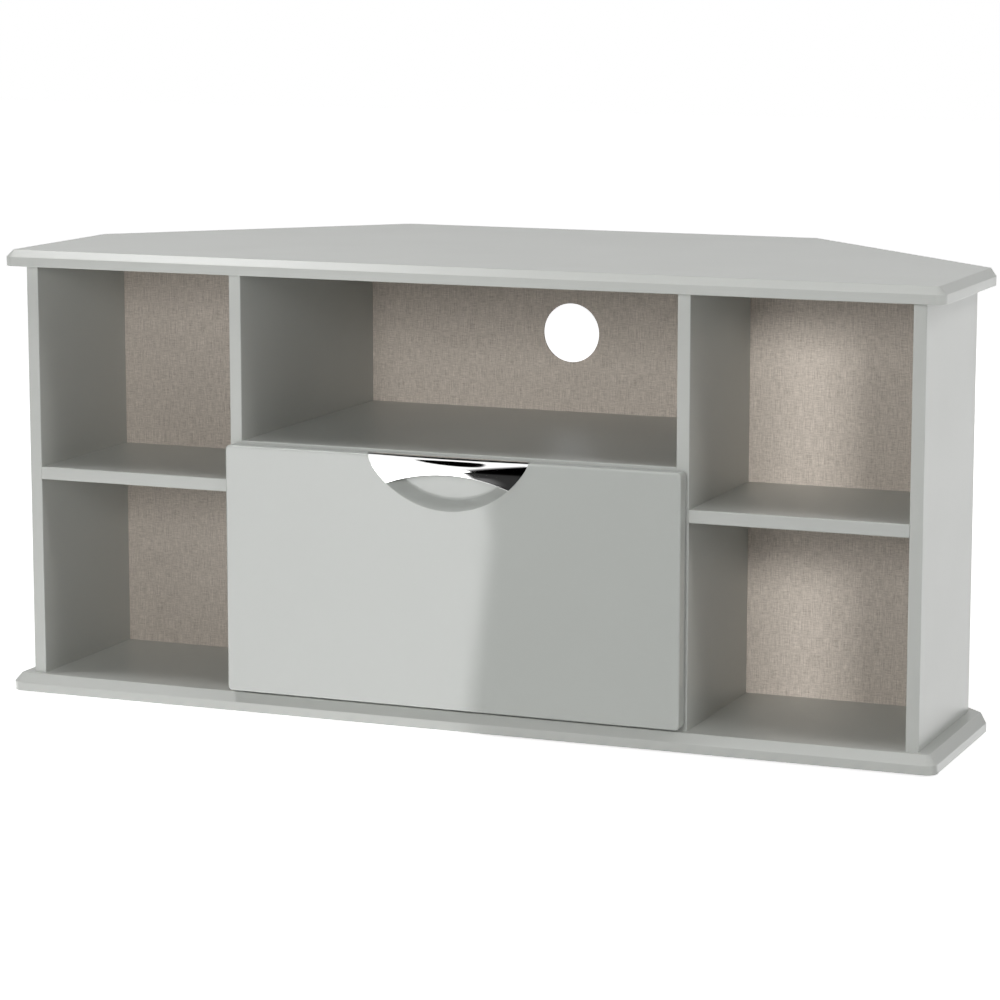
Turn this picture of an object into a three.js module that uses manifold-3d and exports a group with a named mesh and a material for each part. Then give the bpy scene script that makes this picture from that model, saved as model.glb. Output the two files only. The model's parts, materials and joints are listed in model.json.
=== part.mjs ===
import * as THREE from 'three';
import { mergeVertices } from 'three/addons/utils/BufferGeometryUtils.js';
import Module from 'manifold-3d';

// Corner television cabinet with two open side bays, an open centre bay and one drawer.
// Millimetres, +Z up, front towards -Y. The finished group stands on its glides, and its origin
// is on the floor in the middle of its width and depth.
// Inside the group the carcass frame is used: X from the middle, Y back from the front edges of
// the uprights, Z up from the top face of the base board.

// Top and base boards
const boardWidth = 1104.4;
const boardBackWidth = 528;
const boardBackY = 485.4;
const boardSideEndY = 201.6;
const boardSideOverhang = 22.2;
const boardCornerRadius = 12;
const topThickness = 18.7;
const topOverhang = 14.8;
const topBevelWidth = 8.5;
const topBevelHeight = 8.1;
const baseThickness = 20.3;
const baseOverhang = 16.4;
const baseBevelWidth = 8.8;
const baseBevelHeight = 10;

// Uprights and shelves
const uprightHeight = 474.3;
const panelThickness = 14.5;
const arrisRadius = 1;
const endPanelDepth = 208.5;
const dividerDepth = 361.5;
const centreBayWidth = 516;
const sideShelfUnderside = 227.8;
const centreShelfTop = 287.4;

// Back panels, with the rebates and grooves that hold them
const backThickness = 2.5;
const backClearance = 0.3;
const rebateWidth = 6;
const dividerGrooveDepth = 5;
const grooveClearance = 0.15;
const cableHoleRadius = 35;
const cableHoleUpShare = 0.5035;

// Dowels, glued into the uprights and shelves: these are the lengths of their free ends
const dowelRadius = 4;
const dowelChamfer = 1;
const dowelClearance = 0.2;
const dowelEndClearance = 0.5;
const uprightDowelLength = 10;
const shelfDowelLength = 8;
const endPanelDowelShares = [0.15, 0.85];
const dividerDowelShares = [0.1, 0.42, 0.86];
const sideShelfDowelShares = [0.2, 0.8];
const centreShelfDowelShares = [0.12, 0.5, 0.88];

// Floor glides
const glideRadius = 11;
const glideHeight = 3;
const glideEdge = 1;
const glideNailRadius = 1.25;
const glideNailLength = 13;
const glideClearance = 0.15;
const glideInset = 45;
const glideCutInset = 15;

// Drawer front
const drawerGap = 1.5;
const drawerFrontThickness = 18;
const drawerFrontLap = 11.7;
const drawerFrontReveal = 3.1;
const drawerFrontBottom = 3.8;
const drawerFrontCornerRadius = 5;
const drawerFrontEdgeRadius = 2.5;

// Drawer box
const runnerSpace = 12.7;
const boxWallThickness = 12;
const boxLength = 338;
const boxHeight = 190;
const boxBottomThickness = 3;
const boxLift = 4;
const boxBottomLift = 9;
const boxGrooveDepth = 4;
const boxDowelRadius = 3;
const boxDowelLength = 8;
const boxDowelShares = [0.18, 0.5, 0.86];

// Drawer runners: a channel on each divider and a flanged rail under each drawer side
const runnerSheet = 1.2;
const runnerFloor = 22;
const runnerFrontSetback = 4;
const runnerLength = 334;
const channelFlange = 9.7;
const channelHeadroom = 1;
const railFlange = 9.5;
const railFoot = 12;
const rollerRadius = 8;
const rollerWidth = 7;
const rollerGap = 0.3;
const rollerSideGap = 0.9;
const rollerCrown = 0.8;
const rivetRadius = 2;
const rivetClearance = 0.15;
const rivetHeadRadius = 3.5;
const rivetHeadHeight = 1;
const rollerEndSetback = 14;

// Screws
const runnerScrewRadius = 1.75;
const runnerScrewHeadRadius = 3.2;
const runnerScrewHeadHeight = 1.6;
const runnerScrewLength = 12;
const railScrewInset = 4.6;
const railScrewLength = 14;
const frontScrewRadius = 2;
const frontScrewHeadRadius = 4;
const frontScrewHeadHeight = 2.2;
const frontScrewLength = 22;
const handleScrewRadius = 1.5;
const handleScrewHeadRadius = 2.7;
const handleScrewHeadHeight = 1.8;
const handleScrewLength = 10;
const screwClearance = 0.15;
const runnerScrewShares = [0.12, 0.5, 0.86];
const railScrewShares = [0.14, 0.5, 0.84];
const frontScrewInset = 45;
const frontScrewUpShares = [0.3, 0.85];

// Bumper pads between the drawer front and the dividers
const bumperRadius = 4;
const bumperThickness = 1.2;
const bumperUpShares = [0.1, 0.9];

// Half-moon scoop: a circle's lower part let into the drawer front, with a sloping wall
const scoopRadius = 109.5;
const scoopDrop = 58.6;
const scoopDepth = 15.5;
const scoopWallInset = 12;

// Grip: a cap on the upper part of the scoop, with an arched lip, a top flange and three posts
const capClearance = 0.3;
const lipThickness = 3;
const lipCrown = 4.5;
const lipHalfSpan = 72;
const lipHeight = 17.9;
const lipEndDrop = 30.9;
const lipBulgeShare = 0.6;
const flangeThickness = 2.5;
const postRadius = 3.5;
const postDrop = 9;
const postSpacing = 60;

// Facets and the overrun of cuts
const overrun = 2;
const arcSteps = 6;
const arrisSteps = 2;
const edgeSteps = 3;
const dowelSides = 8;
const nailSides = 8;
const screwSides = 10;
const rivetSides = 14;
const rollerSides = 28;
const glideSides = 14;
const holeSides = 40;
const scoopSteps = 36;
const postSides = 16;
const lipColumns = 32;
const lipRows = 8;

// Sizes worked out from the ones above
const boardFrontY = -topOverhang;
const baseFrontY = -baseOverhang;
const carcassHalf = boardWidth / 2 - boardSideOverhang;
const endPanelInnerX = carcassHalf - panelThickness;
const bayHalf = centreBayWidth / 2;
const dividerOuterX = bayHalf + panelThickness;
const sideBackY = endPanelDepth - backThickness;
const centreBackY = dividerDepth - backThickness;
const centreShelfUnderside = centreShelfTop - panelThickness;
const cableHoleHeight = centreShelfTop + cableHoleUpShare * (uprightHeight - centreShelfTop);
const drawerBackY = -drawerGap;
const drawerFaceY = drawerBackY - drawerFrontThickness;
const drawerFrontHalf = bayHalf + drawerFrontLap;
const drawerFrontTop = centreShelfTop - drawerFrontReveal;
const boxHalf = bayHalf - runnerSpace;
const boxInnerHalf = boxHalf - boxWallThickness;
const rollerAxisZ = runnerFloor + runnerSheet + rollerGap + rollerRadius;
const railTop = rollerAxisZ + rollerRadius + rollerGap + runnerSheet;
const channelTop = railTop + channelHeadroom + runnerSheet;
const boxFloorZ = runnerFloor + boxLift;
const boxBottomZ = boxFloorZ + boxBottomLift;
const frontScrewX = boxInnerHalf - frontScrewInset;

const wasm = await Module();
wasm.setup();

// Finishes, with the colours that the photograph shows
const finish = (color, roughness, metalness) => (
  new THREE.MeshStandardMaterial({ color, roughness, metalness }));
const finishes = {
  lacquer: finish(0xbcbdb8, 0.42, 0),
  gloss: finish(0xc3c5c1, 0.08, 0),
  linen: finish(0xa59d92, 0.9, 0),
  boxWrap: finish(0xd9d8d3, 0.55, 0),
  chrome: finish(0xe6e8ea, 0.04, 1),
  enamel: finish(0xe9e7df, 0.45, 0.2),
  nylon: finish(0xf0efea, 0.5, 0),
  zinc: finish(0xaeb1b3, 0.35, 1),
  rubber: finish(0xd8d9d6, 0.6, 0),
  glide: finish(0x4a4743, 0.6, 0),
};

// Closed meshes to solids and back, for cuts and joins

function toSolid(geometry) {
  const bare = geometry.clone();
  bare.deleteAttribute('normal');
  bare.deleteAttribute('uv');
  const merged = mergeVertices(bare);
  const vertProperties = new Float32Array(merged.attributes.position.array);
  const triVerts = new Uint32Array(merged.index.array);
  return new wasm.Manifold(new wasm.Mesh({ numProp: 3, vertProperties, triVerts }));
}

function toGeometry(solid) {
  const mesh = solid.getMesh();
  const geometry = new THREE.BufferGeometry();
  geometry.setAttribute('position', new THREE.BufferAttribute(mesh.vertProperties, 3));
  geometry.setIndex(new THREE.BufferAttribute(mesh.triVerts, 1));
  return geometry;
}

function cut(geometry, cutters) {
  const less = (solid, cutter) => solid.subtract(toSolid(cutter));
  return toGeometry(cutters.reduce(less, toSolid(geometry)));
}

function common(first, second) {
  return toGeometry(toSolid(first).intersect(toSolid(second)));
}

function join(geometries) {
  return toGeometry(geometries.map(toSolid).reduce((whole, solid) => whole.add(solid)));
}

// Profiles and prisms

const rightward = new THREE.Vector3(1, 0, 0);
const frontward = new THREE.Vector3(0, -1, 0);
const upward = new THREE.Vector3(0, 0, 1);
const along = {
  x: new THREE.Matrix4().makeBasis(frontward.clone().negate(), upward, rightward),
  front: new THREE.Matrix4().makeBasis(rightward, upward, frontward),
  z: new THREE.Matrix4(),
};

const vectors = (pairs) => pairs.map(([x, y]) => new THREE.Vector2(x, y));

// Rounds the corners of a closed outline. A corner with no radius stays one point.
function filleted(corners, radii, steps) {
  return corners.flatMap((corner, index) => {
    const radius = radii[index];
    if (radius === 0) {
      return [corner.clone()];
    }
    const before = corners.at(index - 1).clone().sub(corner).normalize();
    const after = corners[(index + 1) % corners.length].clone().sub(corner).normalize();
    const halfAngle = Math.acos(before.dot(after)) / 2;
    const middle = before.clone().add(after).normalize();
    const centre = corner.clone().addScaledVector(middle, radius / Math.sin(halfAngle));
    const start = corner.clone().addScaledVector(before, radius / Math.tan(halfAngle)).sub(centre);
    const turn = Math.sign(before.cross(after)) * (halfAngle * 2 - Math.PI);
    return Array.from({ length: steps + 1 }, (_, step) => start.clone()
      .rotateAround(new THREE.Vector2(), (turn * step) / steps).add(centre));
  });
}

// A rectangle from one corner to the other, with a radius at each corner, from the low corner on
function rectangle(low, high, radii = [0, 0, 0, 0], steps = arrisSteps) {
  const corners = [[low[0], low[1]], [high[0], low[1]], [high[0], high[1]], [low[0], high[1]]];
  return filleted(vectors(corners), radii, steps);
}

// Extrudes an outline from one level to another along a direction
function prism(points, from, to, direction = 'z') {
  const options = { depth: to - from, bevelEnabled: false };
  const geometry = new THREE.ExtrudeGeometry(new THREE.Shape(points), options);
  return geometry.translate(0, 0, from).applyMatrix4(along[direction]);
}

// Skins matching loops, one above another, and caps the first and the last
function stack(loops, levels) {
  const count = loops[0].length;
  const positions = loops.flatMap((loop, level) => loop.flatMap(({ x, y }) => [x, y, levels[level]]));
  const indices = [];
  for (let ring = 0; ring < loops.length - 1; ring += 1) {
    for (let side = 0; side < count; side += 1) {
      const low = ring * count + side;
      const lowNext = ring * count + ((side + 1) % count);
      indices.push(low, lowNext, lowNext + count, low, lowNext + count, low + count);
    }
  }
  const last = (loops.length - 1) * count;
  const facets = (loop) => THREE.ShapeUtils.triangulateShape(loop, []);
  facets(loops[0]).forEach(([a, b, c]) => indices.push(a, c, b));
  facets(loops.at(-1)).forEach(([a, b, c]) => indices.push(last + a, last + b, last + c));
  const geometry = new THREE.BufferGeometry();
  geometry.setAttribute('position', new THREE.Float32BufferAttribute(positions, 3));
  geometry.setIndex(indices);
  return geometry;
}

// Turns a profile of radius and height pairs about its axis, then lays the axis along a direction
function turned(profile, sides, direction = 'z') {
  const geometry = new THREE.LatheGeometry(vectors(profile), sides);
  return geometry.rotateX(Math.PI / 2).applyMatrix4(along[direction]);
}

function rod(radius, from, to, sides, direction = 'z') {
  return turned([[0, from], [radius, from], [radius, to], [0, to]], sides, direction);
}

function moved(geometry, x, y, z) {
  return geometry.clone().translate(x, y, z);
}

// Places in a row, from shares of a length
const spread = (shares, from, to) => shares.map((share) => from + share * (to - from));
const bothSides = [-1, 1];
const sideName = (side) => (side < 0 ? 'left' : 'right');

// Boards with a bevel on the upper edge of the front and of both short ends

function boardOutline(frontY, inset) {
  const half = boardWidth / 2;
  const backHalf = boardBackWidth / 2;
  const cutLean = (boardBackY - boardSideEndY) / (half - backHalf);
  const sideY = boardSideEndY + inset * cutLean;
  const corners = vectors([
    [inset - half, frontY + inset],
    [half - inset, frontY + inset],
    [half - inset, sideY],
    [backHalf, boardBackY],
    [-backHalf, boardBackY],
    [inset - half, sideY],
  ]);
  const radius = boardCornerRadius - inset;
  return filleted(corners, [radius, radius, 0, 0, 0, 0], arcSteps);
}

function board(frontY, thickness, bevelWidth, bevelHeight) {
  const full = boardOutline(frontY, 0);
  return stack([full, full, boardOutline(frontY, bevelWidth)], [0, thickness - bevelHeight, thickness]);
}

// Dowels: each list of places makes both the free ends and the holes that take them.
// A free end starts on the end face of the piece that carries it and points outwards.

function dowel(radius, length) {
  const root = [[0, -dowelChamfer], [radius, -dowelChamfer]];
  const tip = [[radius, length - dowelChamfer], [radius - dowelChamfer, length], [0, length]];
  return turned([...root, ...tip], dowelSides);
}

function dowelHole(radius, length) {
  return rod(radius + dowelClearance, -overrun, length + dowelEndClearance, dowelSides);
}

const pointed = {
  up: (geometry) => geometry,
  down: (geometry) => geometry.rotateX(Math.PI),
  right: (geometry) => geometry.rotateY(Math.PI / 2),
  left: (geometry) => geometry.rotateY(-Math.PI / 2),
};

const aimed = (geometry, { at, way }) => moved(pointed[way](geometry), ...at);
const dowels = (places, radius, length) => places.map((place) => aimed(dowel(radius, length), place));
const dowelHoles = (places, radius, length) => (
  places.map((place) => aimed(dowelHole(radius, length), place)));

const uprightDowelPlaces = (x, rows) => rows.flatMap((y) => [
  { at: [x, y, 0], way: 'down' },
  { at: [x, y, uprightHeight], way: 'up' },
]);
const endPanelMiddleX = carcassHalf - panelThickness / 2;
const dividerMiddleX = bayHalf + panelThickness / 2;
const endPanelDowelPlaces = (side) => (
  uprightDowelPlaces(side * endPanelMiddleX, spread(endPanelDowelShares, 0, endPanelDepth)));
const dividerDowelPlaces = (side) => (
  uprightDowelPlaces(side * dividerMiddleX, spread(dividerDowelShares, 0, dividerDepth)));

const shelfDowelPlaces = (fromX, toX, rows, z) => rows.flatMap((y) => [
  { at: [fromX, y, z], way: 'left' },
  { at: [toX, y, z], way: 'right' },
]);
const sideShelfEnds = (side) => (
  side < 0 ? [-endPanelInnerX, -dividerOuterX] : [dividerOuterX, endPanelInnerX]);
const sideShelfDowelRows = spread(sideShelfDowelShares, 0, sideBackY);
const sideShelfDowelPlaces = (side) => (
  shelfDowelPlaces(...sideShelfEnds(side), sideShelfDowelRows, sideShelfUnderside + panelThickness / 2));
const centreShelfDowelRows = spread(centreShelfDowelShares, 0, centreBackY);
const centreShelfDowelPlaces = (
  shelfDowelPlaces(-bayHalf, bayHalf, centreShelfDowelRows, centreShelfTop - panelThickness / 2));

const uprightPlaces = bothSides.flatMap((side) => (
  [...endPanelDowelPlaces(side), ...dividerDowelPlaces(side)]));
const shelfPlaces = [...centreShelfDowelPlaces, ...bothSides.flatMap(sideShelfDowelPlaces)];
const boardDowelHoles = dowelHoles(uprightPlaces, dowelRadius, uprightDowelLength);
const shelfDowelHoles = dowelHoles(shelfPlaces, dowelRadius, shelfDowelLength);

// Floor glides, each with its nail

const glideRows = [
  ['front', boardWidth / 2 - glideInset, baseFrontY + glideInset],
  ['middle', boardWidth / 2 - glideInset, boardSideEndY - glideCutInset],
  ['rear', boardBackWidth / 2 - glideCutInset, boardBackY - glideInset],
];
const glidePlaces = bothSides.flatMap((side) => glideRows.map(([row, x, y]) => (
  { name: `${sideName(side)}_${row}`, at: [side * x, y, -baseThickness] })));

function glide() {
  const profile = [
    [0, -glideHeight],
    [glideRadius - glideEdge, -glideHeight],
    [glideRadius, glideEdge - glideHeight],
    [glideRadius, 0],
    [glideNailRadius, 0],
    [glideNailRadius, glideNailLength - glideNailRadius],
    [0, glideNailLength],
  ];
  return turned(profile, glideSides);
}

const glideHoles = glidePlaces.map(({ at }) => moved(
  rod(glideNailRadius + glideClearance, -overrun, glideNailLength + glideClearance, nailSides), ...at));

// Screws, each with its head on the plane of its origin and its shank running forwards from it

function countersunk([radius, headRadius, headHeight, length], grow, direction) {
  const shank = radius + grow;
  const head = headRadius + grow;
  const tip = length + grow;
  return turned([[0, 0], [head, 0], [shank, headHeight], [shank, tip], [0, tip]], screwSides, direction);
}

function panHead(radius, headRadius, headHeight, length, direction) {
  const crown = headRadius - headHeight / 2;
  const head = [[0, -headHeight], [crown, -headHeight], [headRadius, -headHeight / 2], [headRadius, 0]];
  const shank = [[radius, 0], [radius, length - radius], [0, length]];
  return turned([...head, ...shank], screwSides, direction);
}

const railScrew = panHead(
  runnerScrewRadius, runnerScrewHeadRadius, runnerScrewHeadHeight, railScrewLength, 'z');
const frontScrew = panHead(
  frontScrewRadius, frontScrewHeadRadius, frontScrewHeadHeight, frontScrewLength, 'front');
const channelScrewSizes = [
  runnerScrewRadius, runnerScrewHeadRadius, runnerScrewHeadHeight, runnerScrewLength];
const handleScrewSizes = [
  handleScrewRadius, handleScrewHeadRadius, handleScrewHeadHeight, handleScrewLength];
const handleScrew = (grow = 0) => countersunk(handleScrewSizes, grow, 'front');

// Carcass panels

function endPanel(side) {
  const plan = rectangle([0, 0], [panelThickness, endPanelDepth], [arrisRadius, arrisRadius, 0, 0]);
  const corner = side < 0 ? -carcassHalf : endPanelInnerX;
  const rebateFrom = side < 0 ? panelThickness - rebateWidth : -overrun;
  const rebateTo = side < 0 ? panelThickness + overrun : rebateWidth;
  const rebate = rectangle([rebateFrom, sideBackY], [rebateTo, endPanelDepth + overrun]);
  const rebateCut = prism(rebate, -overrun, uprightHeight + overrun);
  return { geometry: cut(prism(plan, 0, uprightHeight), [rebateCut]), at: [corner, 0, 0] };
}

function divider(side) {
  const plan = rectangle([0, 0], [panelThickness, dividerDepth], [arrisRadius, arrisRadius, 0, 0]);
  const corner = side < 0 ? -dividerOuterX : bayHalf;
  const inwardFrom = side < 0 ? panelThickness - rebateWidth : -overrun;
  const inwardTo = side < 0 ? panelThickness + overrun : rebateWidth;
  const outwardFrom = side < 0 ? -overrun : panelThickness - dividerGrooveDepth;
  const outwardTo = side < 0 ? dividerGrooveDepth : panelThickness + overrun;
  const rebate = rectangle([inwardFrom, centreBackY], [inwardTo, dividerDepth + overrun]);
  const groove = rectangle(
    [outwardFrom, sideBackY - grooveClearance],
    [outwardTo, endPanelDepth + grooveClearance],
  );
  const slots = [rebate, groove].map((outline) => prism(outline, -overrun, uprightHeight + overrun));
  return { geometry: cut(prism(plan, 0, uprightHeight), slots), at: [corner, 0, 0] };
}

function shelf(fromX, toX, depth, underside) {
  const section = rectangle([0, 0], [depth, panelThickness], [arrisRadius, 0, 0, arrisRadius]);
  return { geometry: prism(section, 0, toX - fromX, 'x'), at: [fromX, 0, underside] };
}

function sideBack(side) {
  const innerX = dividerOuterX - dividerGrooveDepth + backClearance;
  const outerX = endPanelInnerX + rebateWidth - backClearance;
  const fromX = side < 0 ? -outerX : innerX;
  const outline = rectangle([0, 0], [outerX - innerX, uprightHeight]);
  return { geometry: prism(outline, 0, backThickness, 'front'), at: [fromX, endPanelDepth, 0] };
}

function centreBack() {
  const half = bayHalf + rebateWidth - backClearance;
  const shape = new THREE.Shape(rectangle([-half, 0], [half, uprightHeight]));
  const hole = new THREE.Path().absarc(0, cableHoleHeight, cableHoleRadius, 0, Math.PI * 2, true);
  shape.holes.push(hole);
  const options = { depth: backThickness, bevelEnabled: false, curveSegments: holeSides };
  const geometry = new THREE.ExtrudeGeometry(shape, options).applyMatrix4(along.front);
  return { geometry, at: [0, dividerDepth, 0] };
}

// Drawer runners

const rollerOuterX = bayHalf - runnerSheet - rollerSideGap;
const rearRollerInnerX = boxHalf + runnerSheet + rollerSideGap;
const frontRollerY = runnerFrontSetback + rollerEndSetback;
const runnerRearY = runnerFrontSetback + runnerLength;
const rearRollerY = runnerRearY - rollerEndSetback;
const rivetReach = rivetHeadHeight + rollerGap + rollerWidth + rollerSideGap + runnerSheet;

function mirrored(points, side) {
  return side > 0 ? points : points.map((point) => new THREE.Vector2(-point.x, point.y)).reverse();
}

// Channel on the divider, open towards the drawer
function channel(side) {
  const web = bayHalf - runnerSheet;
  const edge = bayHalf - channelFlange;
  const section = vectors([
    [bayHalf, runnerFloor],
    [bayHalf, channelTop],
    [edge, channelTop],
    [edge, channelTop - runnerSheet],
    [web, channelTop - runnerSheet],
    [web, runnerFloor + runnerSheet],
    [edge, runnerFloor + runnerSheet],
    [edge, runnerFloor],
  ]);
  return { geometry: prism(mirrored(section, side), 0, runnerLength, 'front'), at: [0, runnerRearY, 0] };
}

// Rail on the drawer: its foot is under the drawer side and its flange rides over the front roller
function rail(side) {
  const web = boxHalf + runnerSheet;
  const section = vectors([
    [boxHalf - railFoot, boxFloorZ - runnerSheet],
    [web, boxFloorZ - runnerSheet],
    [web, railTop - runnerSheet],
    [boxHalf + railFlange, railTop - runnerSheet],
    [boxHalf + railFlange, railTop],
    [boxHalf, railTop],
    [boxHalf, boxFloorZ],
    [boxHalf - railFoot, boxFloorZ],
  ]);
  return { geometry: prism(mirrored(section, side), 0, runnerLength, 'front'), at: [0, runnerRearY, 0] };
}

// Roller with a slightly crowned tread and a bore for its rivet, its middle plane at the origin
function roller() {
  const half = rollerWidth / 2;
  const shoulder = rollerRadius - rollerCrown;
  const bore = rivetRadius + rivetClearance;
  const profile = [
    [bore, -half], [shoulder, -half], [rollerRadius, rollerCrown - half],
    [rollerRadius, half - rollerCrown], [shoulder, half], [bore, half], [bore, -half],
  ];
  return turned(profile, rollerSides, 'x');
}

// Rivet with its head at the free end of the roller, and its shank into the sheet of the runner
function rivet(way) {
  const profile = [
    [0, 0], [rivetHeadRadius, 0], [rivetHeadRadius, rivetHeadHeight], [rivetRadius, rivetHeadHeight],
    [rivetRadius, rivetReach], [0, rivetReach],
  ];
  const geometry = turned(profile, rivetSides, 'x');
  return way > 0 ? geometry : geometry.rotateZ(Math.PI);
}

function rivetHole(side, y) {
  const hole = rod(rivetRadius + rivetClearance, -runnerSpace, runnerSpace, rivetSides, 'x');
  return moved(hole, side * (bayHalf - runnerSpace / 2), y, rollerAxisZ);
}

const rowNames = ['front', 'middle', 'rear'];
const channelScrewRows = spread(runnerScrewShares, frontRollerY, runnerRearY);
const railScrewRows = spread(railScrewShares, runnerFrontSetback, runnerRearY);
const channelScrewPlaces = (side) => channelScrewRows.map((y, row) => (
  { name: rowNames[row], at: [side * (bayHalf - runnerSheet), y, rollerAxisZ] }));
const railScrewPlaces = (side) => railScrewRows.map((y, row) => (
  { name: rowNames[row], at: [side * (boxHalf - railScrewInset), y, boxFloorZ - runnerSheet] }));

function channelScrew(side, grow = 0) {
  const screw = countersunk(channelScrewSizes, grow, 'x');
  return side > 0 ? screw : screw.rotateZ(Math.PI);
}

// Drawer box

const boxFrontY = drawerBackY;
const boxRearY = boxFrontY + boxLength;

function boxSide(side) {
  const outline = rectangle([0, 0], [boxWallThickness, boxHeight], [0, 0, arrisRadius, arrisRadius]);
  const fromX = side < 0 ? -boxHalf : boxInnerHalf;
  return { geometry: prism(outline, 0, boxLength, 'front'), at: [fromX, boxRearY, boxFloorZ] };
}

function boxEnd(fromY) {
  const outline = rectangle([0, 0], [boxWallThickness, boxHeight], [0, 0, arrisRadius, arrisRadius]);
  return { geometry: prism(outline, 0, boxInnerHalf * 2, 'x'), at: [-boxInnerHalf, fromY, boxFloorZ] };
}

const boxBottomHalf = boxInnerHalf + boxGrooveDepth - backClearance;
const boxBottomFrontY = boxFrontY + boxWallThickness - boxGrooveDepth + backClearance;
const boxBottomRearY = boxRearY - boxWallThickness + boxGrooveDepth - backClearance;

function boxBottom(grow = 0) {
  const low = [-boxBottomHalf - grow, boxBottomFrontY - grow];
  const high = [boxBottomHalf + grow, boxBottomRearY + grow];
  return prism(rectangle(low, high), -grow / 2, boxBottomThickness + grow / 2);
}

const boxGroove = moved(boxBottom(backClearance), 0, 0, boxBottomZ);

const boxDowelPlaces = (y) => spread(boxDowelShares, boxFloorZ, boxFloorZ + boxHeight).flatMap((z) => [
  { at: [-boxInnerHalf, y, z], way: 'left' },
  { at: [boxInnerHalf, y, z], way: 'right' },
]);
const boxFrontDowelPlaces = boxDowelPlaces(boxFrontY + boxWallThickness / 2);
const boxBackDowelPlaces = boxDowelPlaces(boxRearY - boxWallThickness / 2);
const boxPlaces = [...boxFrontDowelPlaces, ...boxBackDowelPlaces];
const boxDowelHoles = dowelHoles(boxPlaces, boxDowelRadius, boxDowelLength);

// Places in pairs on both sides, one above the other
const heightNames = ['low', 'high'];
const pairPlaces = (x, y, heights) => bothSides.flatMap((side) => heights.map((z, row) => (
  { name: `${sideName(side)}_${heightNames[row]}`, at: [side * x, y, z] })));
const frontScrewHeights = spread(frontScrewUpShares, boxFloorZ, boxFloorZ + boxHeight);
const frontScrewPlaces = pairPlaces(frontScrewX, boxFrontY + boxWallThickness, frontScrewHeights);

// Half-moon grip. Its own frame has X across, Y up from the top edge of the drawer front,
// and Z forwards from the face of the drawer front.

const scoopCentreY = scoopRadius - scoopDrop;

// Space of the scoop less a clearance: a cone from its floor to its mouth, then straight forwards.
// Every loop has the same angles, which end above the top edge of the drawer front.
function scoopSpace(clearance) {
  const mouth = scoopRadius - clearance;
  const floor = mouth - scoopWallInset;
  const end = Math.asin((overrun - scoopCentreY) / mouth);
  const loop = (radius) => Array.from({ length: scoopSteps + 1 }, (_, step) => {
    const angle = ((Math.PI + end * 2) * step) / scoopSteps - Math.PI - end;
    return new THREE.Vector2(radius * Math.cos(angle), scoopCentreY + radius * Math.sin(angle));
  });
  const levels = [clearance - scoopDepth, 0, lipCrown + overrun];
  return stack([loop(floor), loop(mouth), loop(mouth)], levels);
}

// Lip across the mouth: its lower edge is an arc, and its face swells out over the fingers.
// It is made wider than the scoop, which trims it.
function lipLowY(x) {
  const rise = lipEndDrop - lipHeight;
  const arcRadius = (lipHalfSpan * lipHalfSpan + rise * rise) / (2 * rise);
  return Math.sqrt(arcRadius * arcRadius - x * x) - arcRadius - lipHeight;
}

function lip() {
  const half = Math.sqrt(scoopRadius ** 2 - scoopCentreY ** 2) + overrun;
  const front = [];
  const back = [];
  for (let column = 0; column <= lipColumns; column += 1) {
    const x = half * Math.sin(((column / lipColumns) * 2 - 1) * (Math.PI / 2));
    const low = lipLowY(x);
    for (let row = 0; row <= lipRows; row += 1) {
      const y = low * (row / lipRows);
      const reach = 1 - (x * x + (y - scoopCentreY) ** 2) / scoopRadius ** 2;
      const swell = lipCrown * Math.max(0, reach) * Math.sin((row / lipRows) * lipBulgeShare * Math.PI);
      front.push(x, y, swell);
      back.push(x, y, -lipThickness);
    }
  }
  return closedSheet(front, back, lipColumns, lipRows);
}

// Closes two matching grids of points into one body
function closedSheet(front, back, columns, rows) {
  const offset = front.length / 3;
  const at = (column, row) => column * (rows + 1) + row;
  const indices = [];
  const quad = (a, b, c, d) => indices.push(a, b, c, a, c, d);
  for (let column = 0; column < columns; column += 1) {
    for (let row = 0; row < rows; row += 1) {
      const next = column + 1;
      const corners = [at(column, row), at(column, row + 1), at(next, row + 1), at(next, row)];
      quad(...corners);
      quad(...corners.reverse().map((corner) => corner + offset));
    }
  }
  for (let column = 0; column < columns; column += 1) {
    quad(at(column, 0), at(column + 1, 0), at(column + 1, 0) + offset, at(column, 0) + offset);
    quad(at(column + 1, rows), at(column, rows), at(column, rows) + offset, at(column + 1, rows) + offset);
  }
  for (let row = 0; row < rows; row += 1) {
    quad(at(0, row + 1), at(0, row), at(0, row) + offset, at(0, row + 1) + offset);
    quad(at(columns, row), at(columns, row + 1), at(columns, row + 1) + offset, at(columns, row) + offset);
  }
  const geometry = new THREE.BufferGeometry();
  geometry.setAttribute('position', new THREE.Float32BufferAttribute([...front, ...back], 3));
  geometry.setIndex(indices);
  return geometry;
}

const gripAt = [0, drawerFaceY, drawerFrontTop];
const scoopCut = moved(scoopSpace(0).applyMatrix4(along.front), ...gripAt);
const postRows = [['left', -postSpacing], ['middle', 0], ['right', postSpacing]];

function cap() {
  const flangeOutline = rectangle([-scoopRadius, -flangeThickness], [scoopRadius, 0]);
  const flange = prism(flangeOutline, -scoopDepth, -lipThickness / 2);
  const trimmed = common(join([lip(), flange]), scoopSpace(capClearance));
  const post = rod(postRadius, -scoopDepth, -lipThickness / 2, postSides);
  const posts = postRows.map(([, x]) => moved(post, x, -postDrop, 0));
  return join([trimmed, ...posts]).applyMatrix4(along.front);
}

// The cap's screws run through the scoop's floor into the posts, from the back of the drawer front
const handleScrewPlaces = postRows.map(([name, x]) => (
  { name, at: [x, drawerBackY, drawerFrontTop - postDrop] }));

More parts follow.
